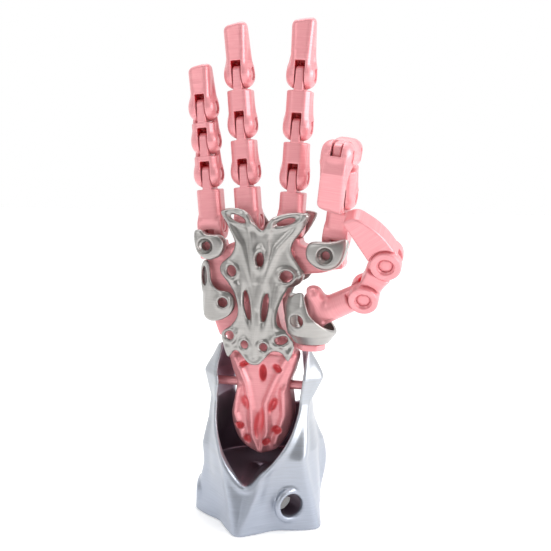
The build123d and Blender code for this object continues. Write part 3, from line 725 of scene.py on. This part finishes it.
# %% [markdown]
# ## Palm plates
#
# The silver plate over the palm is one flowing print: two lobes reach up to the fingers, the middle narrows,
# and ribs run down from the lobes, meet at the waist and part again round two slots.  Its outline is a
# smooth closed curve through a few points.  A field in two directions gives the distance to that curve,
# the plate is the space near an arch across the hand, and ribs and hole rims are thickenings of it.
# The back plate is the same print, mirrored.

# %% Outline distance
def smooth_outline(corners, steps=6):
    """A closed Catmull-Rom curve through the corners."""
    corners = np.array(corners, dtype=np.float64)
    share = np.arange(steps)[:, None] / steps
    runs = []
    for index in range(len(corners)):
        a, b, c, d = (corners[(index + k) % len(corners)] for k in (-1, 0, 1, 2))
        runs.append(0.5 * (2 * b + (c - a) * share + (2 * a - 5 * b + 4 * c - d) * share**2
                           + (3 * b - a - 3 * c + d) * share**3))
    return np.concatenate(runs)


def outline_field(x, z, corners):
    """Distance to a closed outline, negative inside, for a two-dimensional grid of points."""
    curve = smooth_outline(corners)
    nearest = np.full(x.shape, 1e9)
    inside = np.zeros(x.shape, bool)
    for (ax, az), (bx, bz) in zip(curve, np.roll(curve, -1, axis=0)):
        ex, ez = bx - ax, bz - az
        share = np.clip(((x - ax) * ex + (z - az) * ez) / (ex * ex + ez * ez + 1e-12), 0, 1)
        nearest = np.minimum(nearest, (x - ax - share * ex) ** 2 + (z - az - share * ez) ** 2)
        if az != bz:
            inside ^= ((az > z) != (bz > z)) & (x < ex * (z - az) / ez + ax)
    return np.where(inside, -1, 1) * np.sqrt(nearest)


def stroke(x, z, corners, width):
    """Distance to a line of straight runs, less its half width."""
    nearest = np.full(x.shape, 1e9)
    for (ax, az), (bx, bz) in zip(corners, corners[1:]):
        ex, ez = bx - ax, bz - az
        share = np.clip(((x - ax) * ex + (z - az) * ez) / (ex * ex + ez * ez), 0, 1)
        nearest = np.minimum(nearest, np.sqrt((x - ax - share * ex) ** 2 + (z - az - share * ez) ** 2))
    return nearest - width


# %% Palm plate shape
PLATE_OUTLINE = (
    (-20.0, 174.5), (-14.5, 176.3), (-8.0, 175.8), (-3.8, 173.0), (-0.8, 168.6), (3.3, 164.6), (6.6, 168.8),
    (11.0, 172.2), (20.0, 174.2), (27.8, 173.4), (28.4, 170.5), (24.4, 163.4), (20.0, 157.5), (19.4, 152.5),
    (22.8, 146.5), (26.2, 140.6), (23.6, 135.6), (17.4, 132.2), (13.8, 126.0), (11.2, 118.0), (12.0, 112.2),
    (18.4, 109.0), (22.4, 105.0), (20.6, 99.0), (17.4, 92.4), (13.6, 96.8), (8.8, 97.6),
    (4.4, 93.2), (0.8, 89.9),
    (-4.8, 90.4), (-11.8, 97.2), (-16.8, 93.0), (-19.8, 99.4), (-20.6, 106.8), (-14.6, 112.0),
    (-10.8, 118.6),
    (-12.0, 127.4), (-16.4, 134.6), (-21.2, 141.0), (-20.6, 145.6), (-14.6, 151.0),
    (-12.4, 157.4), (-15.2, 164.6),
    (-18.6, 170.4),
)
PLATE_HOLES = (  # x, z, half width, half height and turn in degrees
    (-10.3, 170.4, 4.3, 1.5, -22.0), (16.2, 168.9, 4.8, 1.5, 17.0), (2.1, 148.5, 1.9, 3.6, 0.0),
    (-14.3, 141.8, 2.4, 2.8, 20.0), (16.5, 139.5, 3.4, 2.9, -15.0), (-5.3, 123.2, 1.5, 7.8, 8.0),
    (4.7, 122.1, 1.6, 7.6, -8.0), (-15.6, 105.8, 2.6, 2.2, 0.0), (-7.0, 101.0, 1.9, 2.0, 0.0),
    (3.9, 100.2, 1.9, 2.0, 0.0), (13.6, 104.3, 3.4, 2.2, 12.0),
)
PLATE_RIBS = (
    ((-18.4, 173.5), (-13.5, 164.5), (-8.0, 155.5), (-4.4, 143.0), (-1.8, 133.5), (-0.6, 112.0),
    (-2.0, 95.0)),
    ((-5.0, 172.6), (-2.6, 160.0), (-2.2, 148.5), (-1.4, 136.0)),
    ((26.6, 172.0), (19.6, 163.0), (11.8, 154.5), (6.6, 143.0), (2.4, 133.5), (-0.2, 122.0)),
    ((9.0, 170.4), (6.2, 160.0), (6.4, 148.5), (2.8, 136.0)),
    ((-19.2, 141.0), (-11.4, 134.0), (-9.4, 123.0), (-9.8, 110.0), (-15.8, 99.0)),
    ((24.0, 140.4), (12.8, 133.4), (9.6, 122.0), (10.4, 109.0), (17.2, 97.0)),
)
PLATE_ARCH = 105.0
PLATE_CROWN = 17.2
PLATE_WALL = 2.5
PLATE_GRID = 0.45


def plate_field(x, y, z, front):
    """An arched plate; front is the crown's distance from the hand's middle plane."""
    flat_x, flat_z = x[:, 0, :], z[:, 0, :]
    edge = outline_field(flat_x, flat_z, PLATE_OUTLINE)
    rims = np.full(flat_x.shape, 1e9)
    for hx, hz, half_width, half_height, turn in PLATE_HOLES:
        turn = math.radians(turn)
        across = (flat_x - hx) * math.cos(turn) + (flat_z - hz) * math.sin(turn)
        up = (flat_z - hz) * math.cos(turn) - (flat_x - hx) * math.sin(turn)
        scaled = np.sqrt((across / half_width) ** 2 + (up / half_height) ** 2)
        rims = np.minimum(rims, (scaled - 1) * min(half_width, half_height))
    ribs = np.full(flat_x.shape, 1e9)
    for corners in PLATE_RIBS:
        ribs = soft_min(ribs, stroke(flat_x, flat_z, corners, 0.0), 1.2)
    relief = 1.5 * np.exp(-((ribs / 1.9) ** 2)) + 0.9 * np.exp(-(((rims - 1.2) / 1.1) ** 2))
    relief += 0.5 * np.exp(-(((edge + 1.3) / 1.2) ** 2)) - 0.5
    level = (front - 1.7 - flat_x**2 / (2 * PLATE_ARCH) + np.minimum(relief, 1.7))[:, None, :]
    inner = (front - PLATE_WALL - 0.7 - flat_x**2 / (2 * PLATE_ARCH))[:, None, :]
    shell = np.maximum(-y - level, inner + y)
    shape = soft_max(shell, edge[:, None, :], 1.3)
    return soft_max(shape, -rims[:, None, :], 1.1)


# %% Room for the turning thumb shell
SWIVEL = tuple(v / MM for v in joint_centre(joints["thumb_swivel"])[:2])
THENAR_SHAPE = ((100.0, 8.8), (103.6, 9.6), (109.0, 13.6), (117.0, 15.4), (125.0, 15.0), (132.0, 12.8))


def thenar_radius(z):
    """Outer radius of the thumb's root shell at a height."""
    return np.interp(z, *zip(*THENAR_SHAPE))


# %% Grow the palm plate and the back plate
for name, side, crown in (("palm_plate", 1, PLATE_CROWN), ("back_plate", -1, 15.2)):
    x, y, z = points = grid((-24.0, -crown - 1.0, 86.0), (31.0, -5.5, 179.0), PLATE_GRID)
    field = plate_field(x, y, z, crown)
    turning = np.sqrt((x - SWIVEL[0]) ** 2 + (y - SWIVEL[1]) ** 2) - thenar_radius(z) - 0.7
    if side > 0:
        field = soft_max(field, -np.maximum(turning, z - 133.5), 0.6)
    basis = Matrix.Diagonal((MM, side * MM, MM, 1))
    piece = print_mesh(name + "_print", points, field, basis, SILVER)
    if side < 0:
        piece.data.flip_normals()
    finish_piece(piece, "palm", SILVER_SLOT, name)

# %% [markdown]
# ## Knuckle caps and the shells at the palm's sides
#
# The knuckle caps are thick drops of silver with a dished hole.  The heel shell wraps the little
# finger's edge of the palm, and the thumb's root sits in a bowl that turns with it.  They are fields
# too: an outline seen from the front, limited to a thickness, with rims raised round the holes.  The
# caps stop under a slanted plane, because the finger above closes 60 degrees over them.

# %% Knuckle caps
WORLD_MM = Matrix.Diagonal((MM, MM, MM, 1))
CAP_OUTLINES = {
    "little": ((-35.6, 157.8), (-35.4, 163.4), (-31.6, 164.4), (-28.4, 161.8), (-21.4, 161.0), (-18.2, 156.4),
               (-20.8, 150.0), (-27.2, 147.4), (-33.4, 150.8)),
    "index": ((26.8, 152.6), (29.4, 158.2), (39.1, 158.8), (45.0, 160.0), (49.6, 162.6), (48.8, 153.6),
              (44.7, 145.9), (36.8, 143.4), (29.2, 147.2)),
}
CAP_HOLES = {"little": (-29.1, 155.0), "index": (37.6, 151.4)}
CLOSING = math.radians(60)


def cap_field(x, y, z, finger):
    hole_x, hole_z = CAP_HOLES[finger]
    edge = outline_field(x[:, 0, :], z[:, 0, :], CAP_OUTLINES[finger])[:, None, :]
    from_hole = np.sqrt((x - hole_x) ** 2 + (z - hole_z) ** 2)
    front = -16.0 + 0.016 * np.clip(from_hole - 3, 0, 12) ** 2
    shape = soft_max(soft_max(edge, front - y, 2.4), y + 8.5, 1.5)
    dish = ellipsoid((x, y, z), (hole_x, -17.2, hole_z), (4.6, 4.4, 4.6))
    shape = soft_max(shape, -dish, 0.8)
    shape = soft_max(shape, 2.3 - from_hole, 0.6)
    knuckle_z = joint_centre(joints[f"{finger}_knuckle"]).z / MM
    ceiling = knuckle_z - 7.0 * math.sin(CLOSING) - 0.7 + (-y - 3.5) / math.tan(CLOSING)
    return soft_max(shape, z - ceiling, 0.8)


for finger, (hole_x, hole_z) in CAP_HOLES.items():
    x, y, z = points = grid((hole_x - 13, -18.0, hole_z - 11), (hole_x + 14, -6.5, hole_z + 13), 0.4)
    piece = print_mesh(f"{finger}_cap_print", points, cap_field(x, y, z, finger), WORLD_MM, SILVER)
    finish_piece(piece, "palm", SILVER_SLOT, f"{finger}_knuckle_cap")

# %% Heel shell
HEEL_AXIS = (-20.5, 0.0)
HEEL_OUTLINE = ((-34.0, 144.0), (-30.4, 147.0), (-27.6, 144.4), (-26.4, 135.4), (-22.6, 131.2),
                (-15.8, 129.6),
                (-12.9, 124.0), (-15.6, 117.2), (-22.6, 113.6), (-30.0, 113.6), (-34.8, 119.6),
                (-36.6, 128.0), (-36.4, 138.0))
HEEL_RIDGE = ((-28.4, 146.0), (-27.8, 136.0), (-30.0, 126.0), (-31.0, 116.0))
x, y, z = points = grid((-38.0, -17.5, 111.0), (-11.0, 17.5, 149.0), 0.45)
around = np.sqrt((x - HEEL_AXIS[0]) ** 2 + (y - HEEL_AXIS[1]) ** 2)
flat_x, flat_z = x[:, 0, :], z[:, 0, :]
heel_edge = outline_field(flat_x, flat_z, HEEL_OUTLINE)[:, None, :]
tall_hole = (np.sqrt(((x + 31.4) / 2.1) ** 2 + ((z - 137.9) / 5.4) ** 2) - 1) * 2.1
round_hole = np.sqrt((x + 19.5) ** 2 + (z - 124.0) ** 2) - 2.6
rims = np.minimum(tall_hole, round_hole)
raised = 0.9 * np.exp(-(((rims - 1.1) / 1.1) ** 2))
ridge = stroke(flat_x, flat_z, HEEL_RIDGE, 0.0)[:, None, :]
raised = np.maximum(raised, 0.8 * np.exp(-((ridge / 2.0) ** 2)))
wall = np.maximum(around - 14.7 - np.minimum(raised, 0.8), 12.6 - around)
field = soft_max(soft_max(wall, heel_edge, 1.2), -rims, 0.9)
piece = print_mesh("heel_shell_print", points, field, WORLD_MM, SILVER)
finish_piece(piece, "palm", SILVER_SLOT, "heel_shell")

# %% The thumb's root shell
THENAR_WALL = 2.2
THENAR_FRONT = ((26.6, 132.2), (20.0, 129.6), (14.0, 121.0), (13.0, 112.0), (20.0, 101.0), (40.0, 99.0),
                (52.0, 106.0), (48.0, 109.0), (43.0, 110.4), (38.6, 113.0), (34.4, 117.2), (31.0, 121.4),
                (29.0, 127.0))
MOUTH_TILT = math.radians(52)
root = [v / MM for v in joint_centre(joints["thumb_root_joint"])]
x, y, z = points = grid((12.0, -28.5, 100.0), (48.0, 8.0, 134.0), 0.45)
turning = np.sqrt((x - SWIVEL[0]) ** 2 + (y - SWIVEL[1]) ** 2)
outer = thenar_radius(z)
flat_x, flat_z = x[:, 0, :], z[:, 0, :]
hole = np.sqrt(((x - 24.1) * 0.92) ** 2 + ((z - 117.2) * 1.05) ** 2) - 3.5
fork = (26.2, 124.6)
legs = (((26.4, 131.5), fork), (fork, (19.4, 119.0), (18.6, 112.0)), (fork, (30.4, 116.0)))
ridge = np.minimum.reduce([stroke(flat_x, flat_z, leg, 0.0) for leg in legs])[:, None, :]
rim = np.exp(-(((hole - 1.2) / 1.1) ** 2))
raised = 0.6 * np.maximum(rim, np.exp(-((ridge / 1.8) ** 2))) * (y < -12)
bowl = np.maximum(turning - outer + 0.35 - raised * 0.6, outer - THENAR_WALL - turning)
bowl = np.maximum(bowl, 103.7 - z)
mouth = (x - root[0]) * math.cos(MOUTH_TILT) + (z - root[2]) * math.sin(MOUTH_TILT) - 2.0
front = np.maximum(outline_field(flat_x, flat_z, THENAR_FRONT)[:, None, :], y + 14.0)
field = soft_max(bowl, soft_min(mouth, front, 1.5), 0.9)
field = soft_max(field, -np.maximum(hole, y + 12.0), 0.9)
piece = print_mesh("thenar_shell_print", points, field, WORLD_MM, SILVER)
finish_piece(piece, "thumb_base", SILVER_SLOT, "thenar_shell")

# %% [markdown]
# ## Palm core
#
# The pink core is what the plates and caps are fixed to.  Little of it shows, but its necks do: each
# carries a flat tongue that a finger's lowest link straddles.  It keeps the same room for the thumb's
# hub and shell.

# %% Palm core
CORE_OUTLINE = ((-17.0, 95.0), (1.5, 94.0), (20.0, 95.0), (18.0, 104.0), (11.5, 112.0), (10.5, 129.0),
                (21.0, 139.0), (36.0, 141.5), (46.0, 146.0), (35.0, 150.5), (24.0, 156.0), (4.0, 158.0),
                (-14.0, 157.0), (-22.0, 153.5), (-34.0, 149.0), (-30.0, 128.0), (-25.5, 108.0))
POSTS = ((-11.0, 106.0), (9.0, 104.0), (-9.0, 126.0), (8.0, 126.0), (-13.0, 152.0), (17.0, 151.0))
CORE_GRID = 0.5
ROOM_HALF = 9.2  # half the room that the core leaves beside each finger
REST_BEND = {"little": 0.0, "ring": 0.0, "middle": 0.0, "index": 8.0}
x, y, z = points = grid((-38.0, -16.5, 92.0), (52.0, 14.5, 174.0), CORE_GRID)
edge = outline_field(x[:, 0, :], z[:, 0, :], CORE_OUTLINE)[:, None, :]
field = soft_max(edge, np.abs(y) - 7.4, 2.0)
field = np.maximum(field, np.minimum(np.abs(x) - 19.4, 104.0 - z))  # clear of the forearm's arms
for post_x, post_z in POSTS:
    post = np.sqrt((x - post_x) ** 2 + (z - post_z) ** 2) - 2.6
    level = x * x / 210.0
    field = np.minimum(field, np.maximum(post, np.maximum(-13.6 + level - y, y - 11.9 + level)))
deck = np.maximum(np.sqrt((x - SWIVEL[0]) ** 2 + (y - SWIVEL[1]) ** 2) - 7.4, slab(z, 99.7, 103.1))
arm = np.maximum(np.maximum(slab(x, 15.0, 30.0), slab(y, -10.0, -2.6)), slab(z, 99.7, 103.1))
field = np.minimum(field, soft_min(deck, arm, 1.0))
turning = np.sqrt((x - SWIVEL[0]) ** 2 + (y - SWIVEL[1]) ** 2)
field = np.maximum(field, -np.maximum(turning - 15.9, slab(z, 103.2, 132.6)))
around = np.sqrt((x - HEEL_AXIS[0]) ** 2 + (y - HEEL_AXIS[1]) ** 2)
field = np.maximum(field, -np.maximum(np.maximum(12.4 - around, x - HEEL_AXIS[0]), slab(z, 111.6, 147.4)))
for finger in FINGERS:
    basis = chains[finger][0][0]
    straighten = Matrix.Rotation(math.radians(-REST_BEND[finger]), 4, "X")
    local = np.array((basis @ straighten).inverted()) @ np.array(WORLD_MM)
    lx, ly, lz = (local[i, 0] * x + local[i, 1] * y + local[i, 2] * z + local[i, 3] for i in range(3))
    bar = soft_max(np.abs(lx) - 6.6, np.abs(ly) - 7.2, 2.2)
    neck = soft_max(bar, slab(lz, -17.0, -EAR_RADIUS - JOINT_GAP), 0.8)
    field = soft_min(field, neck, 2.0)
    beside = np.abs(lx) - ROOM_HALF
    around = np.sqrt(ly * ly + lz * lz) - EAR_RADIUS - JOINT_GAP
    room = np.maximum(np.maximum(around, beside), -20.0 - lz)
    room = np.minimum(room, np.maximum(beside, -lz - EAR_RADIUS - JOINT_GAP + 0.2))
    field = np.maximum(field, -room)
    ring = np.sqrt(ly * ly + lz * lz)
    stem = np.maximum(slab(ly, -0.8, 4.8), slab(lz, -EAR_RADIUS - 2.0, 0.0))
    flat = np.maximum(np.minimum(ring - 4.8, stem), np.abs(lx) - TONGUE_HALF)
    field = np.minimum(field, np.maximum(flat, 1.55 - ring))
piece = print_mesh("palm_core_print", points, field, WORLD_MM, PINK)
finish_piece(piece, "palm", PINK_SLOT, "palm_core")

# %% [markdown]
# ## Wrist core
#
# The pink wrist piece hangs from the axle like a seed in the forearm's window.  It is carved with
# tear-shaped hollows round a long dish with a thin spine.  The hollows go into the recess attribute, which
# paints them deep red: painted shade and light bounced inside them.

# %% Wrist core
AXLE_HEIGHT = 76.0
WRIST_OUTLINE = ((-17.4, 95.6), (2.0, 96.0), (19.4, 95.6), (19.0, 86.0), (16.2, 77.5),
                 (17.4, 68.0), (17.8, 58.0),
                 (14.6, 47.0), (8.6, 39.0), (0.0, 36.2), (-9.0, 39.4), (-15.0, 47.0),
                 (-17.6, 58.0), (-15.6, 68.0),
                 (-14.2, 76.0), (-17.6, 87.0))
HOLLOWS = (  # x, z, half width, half height, turn in degrees, depth
    (-9.0, 88.5, 2.8, 1.6, 20.0, 5.0), (9.8, 87.0, 3.2, 2.0, -25.0, 5.0), (1.4, 83.5, 2.2, 5.0, 0.0, 8.0),
    (-8.6, 66.0, 2.4, 4.4, 12.0, 4.0), (7.4, 65.6, 2.0, 4.6, -22.0, 5.0), (-0.4, 55.0, 2.8, 9.0, -8.0, 4.0),
    (-12.0, 52.6, 2.6, 2.0, -15.0, 5.0), (9.6, 51.4, 3.0, 2.3, 12.0, 5.5), (-7.4, 44.6, 2.0, 2.8, 15.0, 4.5),
    (3.6, 44.0, 2.5, 2.0, 25.0, 4.5),
)
WRIST_RIDGES = (((-14.0, 92.0), (-8.0, 78.0), (-5.0, 62.0), (-4.4, 48.0), (-0.5, 38.5)),
                ((15.0, 92.0), (8.0, 78.0), (3.4, 66.0), (4.2, 50.0), (0.5, 38.5)),
                ((-13.0, 74.0), (-14.4, 60.0), (-10.0, 46.0)), ((13.4, 74.0), (14.0, 60.0), (9.0, 44.0)))
x, y, z = points = grid((-21.0, -12.5, 34.0), (22.5, 12.5, 98.0), 0.45)
flat_x, flat_z = x[:, 0, :], z[:, 0, :]
edge = outline_field(flat_x, flat_z, WRIST_OUTLINE)[:, None, :]
ridges = np.minimum.reduce([stroke(flat_x, flat_z, ridge, 0.0) for ridge in WRIST_RIDGES])[:, None, :]
depth = np.abs(y) - 7.0 - 2.8 * np.exp(-((ridges / 2.2) ** 2))
field = soft_max(edge, depth, 3.6)


def hollow_fields(x, y, z):
    """Distance to the nearest tear-shaped hollow."""
    nearest = np.full(np.shape(x), 1e9)
    for hx, hz, half_width, half_height, turn, deep in HOLLOWS:
        turn = math.radians(turn)
        across = (x - hx) * math.cos(turn) + (z - hz) * math.sin(turn)
        up = (z - hz) * math.cos(turn) - (x - hx) * math.sin(turn)
        into = (np.abs(y) - 9.6) / deep
        scaled = np.sqrt((across / half_width) ** 2 + (up / half_height) ** 2 + into**2)
        nearest = np.minimum(nearest, (scaled - 1) * min(half_width, half_height))
    return nearest


field = soft_max(field, -hollow_fields(x, y, z), 1.0)
field = np.maximum(field, 2.6 - np.sqrt(y * y + (z - AXLE_HEIGHT) ** 2))
# painted shade: the hollows' walls take the deep red of shade and light bounced inside them
piece = print_mesh("wrist_core_print", points, field, WORLD_MM, PINK,
                   recess_shade=lambda x, y, z: np.clip(0.5 - hollow_fields(x, y, z), 0, 0.75) * (np.abs(y) < 8.6))
finish_piece(piece, "palm", PINK_SLOT, "wrist_core")

# %% [markdown]
# ## Forearm shell and foot
#
# The stand's shape follows a rule, so it is a radius for every direction and height: an ellipse that
# swells and narrows up the forearm and turns into five ridges at the foot.  Twisted waves on it make
# the flowing ridges. A window is cut in front and another behind, and each port gets a thick round rim.

# %% Forearm shell
FOREARM = (  # height, half widths along X and Y
    (0.0, 35.0, 33.0), (14.0, 34.5, 31.5), (28.0, 34.0, 30.5), (42.0, 34.0, 29.0), (56.0, 30.0, 26.5),
    (68.0, 28.5, 23.5), (82.0, 33.0, 18.5), (98.0, 27.0, 11.8),
)
WINDOW = ((-22.0, 112.0), (-22.4, 98.0), (-24.2, 86.0), (-22.8, 78.0), (-23.6, 66.0),
          (-22.8, 56.0), (-18.4, 45.0),
          (-11.6, 35.0), (-2.4, 26.0), (5.4, 33.0), (12.4, 39.6), (19.6, 51.0), (22.6, 62.0), (23.4, 72.0),
          (24.8, 82.0), (25.4, 98.0), (25.0, 112.0))
PORTS = ((-48.0, 15.0, 6.4), (186.0, 10.8, 5.4))  # direction, height, radius
SOCKET_RADIUS, SOCKET_DEPTH = 21.0, 20.0
SHELL_WALL = 2.8
SHELL_GRID = 0.75


RIDGES = (  # height in millimetres, direction in degrees and strength, three places for each ridge
    ((0, 262, 1.0), (24, 250, 1.2), (94, 214, 0.5)),
    ((0, 262, 1.0), (24, 278, 1.2), (94, 326, 0.5)),
    ((0, 190, 0.8), (40, 200, 1.3), (90, 176, 0.9)),
    ((0, 334, 0.8), (40, 322, 1.3), (90, 4, 0.9)),
    ((0, 46, 1.0), (40, 60, 1.1), (90, 30, 0.5)),
    ((0, 118, 1.0), (40, 104, 1.1), (90, 150, 0.5)),
)
FINS = ((22.0, 30.0, 5.5), (50.0, 24.0, 4.5))  # direction, middle height and how far a fin stands out
RIDGE_WIDTH = 8.0  # degrees


def apart(first, second):
    """Degrees between two directions."""
    return np.abs((first - second + 180) % 360 - 180)


def forearm_ridges(x, y, z):
    """How far the ridges and fins stand out of the forearm's smooth body."""
    heading = np.degrees(np.arctan2(y, x)) % 360
    height = np.zeros(np.shape(heading + z))
    for places in RIDGES:
        levels, directions, strengths = zip(*places)
        unwrapped = np.degrees(np.unwrap(np.radians(directions)))
        path = np.interp(z, levels, unwrapped)
        crest = np.exp(-((apart(heading, path) / RIDGE_WIDTH) ** 2))
        height = np.maximum(height, 2.6 * crest * np.interp(z, levels, strengths))
    for direction, middle, out in FINS:
        crest = np.exp(-((apart(heading, direction) / 7.0) ** 2) - ((z - middle) / 17.0) ** 2)
        height = np.maximum(height, out * crest)
    return height * np.clip((98.5 - z) / 14.0, 0, 1) - 0.9


def forearm_radius(x, y, z):
    heights, half_x, half_y = zip(*FOREARM)
    wide, deep = np.interp(z, heights, half_x), np.interp(z, heights, half_y)
    angle = np.arctan2(y, x)
    round_radius = wide * deep / np.sqrt((deep * np.cos(angle)) ** 2 + (wide * np.sin(angle)) ** 2)
    low = np.clip((30.0 - z) / 30.0, 0, 1)
    star = np.cos(5 * (angle - math.radians(262)))
    waves = np.cos(4 * angle + z / 15.0) * np.clip((z - 4) / 25.0, 0, 1) * np.clip((100 - z) / 30.0, 0, 1)
    return round_radius + low * (3.6 * star + 0.6) + 1.1 * waves


x, y, z = points = grid((-44.0, -43.0, -1.5), (44.0, 43.0, 100.0), SHELL_GRID)
ring = np.sqrt(x * x + y * y)
outer = forearm_radius(x, y, z)
window = outline_field(x[:, 0, :], z[:, 0, :], WINDOW)[:, None, :]
lip = np.exp(-(((window - 1.6) / 1.8) ** 2)) * (y < 0)
shape = soft_max(ring - outer - 0.9 * lip - forearm_ridges(x, y, z), slab(z, 0.0, 98.0), 1.0)
hollow = np.maximum(ring - outer + SHELL_WALL, 28.0 - z)
field = soft_max(shape, -hollow, 1.0)
field = soft_max(field, -np.maximum(window, y), 1.4)
back = np.maximum(soft_max(np.abs(x) - 20.5, 60.0 - z, 8.0), -y)
field = soft_max(field, -back, 1.2)
for direction, height, radius in PORTS:
    turn = math.radians(direction)
    out = x * math.cos(turn) + y * math.sin(turn)
    across = np.sqrt((y * math.cos(turn) - x * math.sin(turn)) ** 2 + (z - height) ** 2)
    surface = float(forearm_radius(np.array(math.cos(turn)), np.array(math.sin(turn)), np.array(height)))
    rim = np.sqrt((across - radius - 1.2) ** 2 + (out - surface + 0.6) ** 2) - 2.0
    field = soft_min(field, np.maximum(rim, -z), 2.0)
    field = soft_max(field, -np.maximum(across - radius, -out), 0.8)
socket = np.maximum(ring - SOCKET_RADIUS, z - SOCKET_DEPTH)
field = np.maximum(field, -socket)
field = np.maximum(field, 2.55 - np.sqrt(y * y + (z - AXLE_HEIGHT) ** 2))
field = np.maximum(field, -z)


# painted shade: the shell's inner faces take the material's deep colour
def forearm_inside_shade(x, y, z):
    return np.clip(forearm_radius(x, y, z) - 1.6 - np.sqrt(x * x + y * y), 0, 1)


piece = print_mesh("forearm_shell_print", points, field, WORLD_MM, SILVER_PAINTED_BLUE_SHADE, recess_shade=forearm_inside_shade)
finish_piece(piece, "forearm", "blue_silver_silk_plastic", "forearm_shell")

# %% [markdown]
# ## CAD pieces that stay
#
# The thumb's hub, its swivel pin and the wrist axle have the right shape already, and only need the finish.

# %% Finish of the CAD pieces that stay
for node in ("thumb_hub", "thumb_swivel_pin", "wrist_axle"):
    cad_piece = frame["nodes"][node]
    for slot in cad_piece.material_slots:
        slot.material = PINK_PLAIN
    print(node, "slots", len(cad_piece.material_slots))
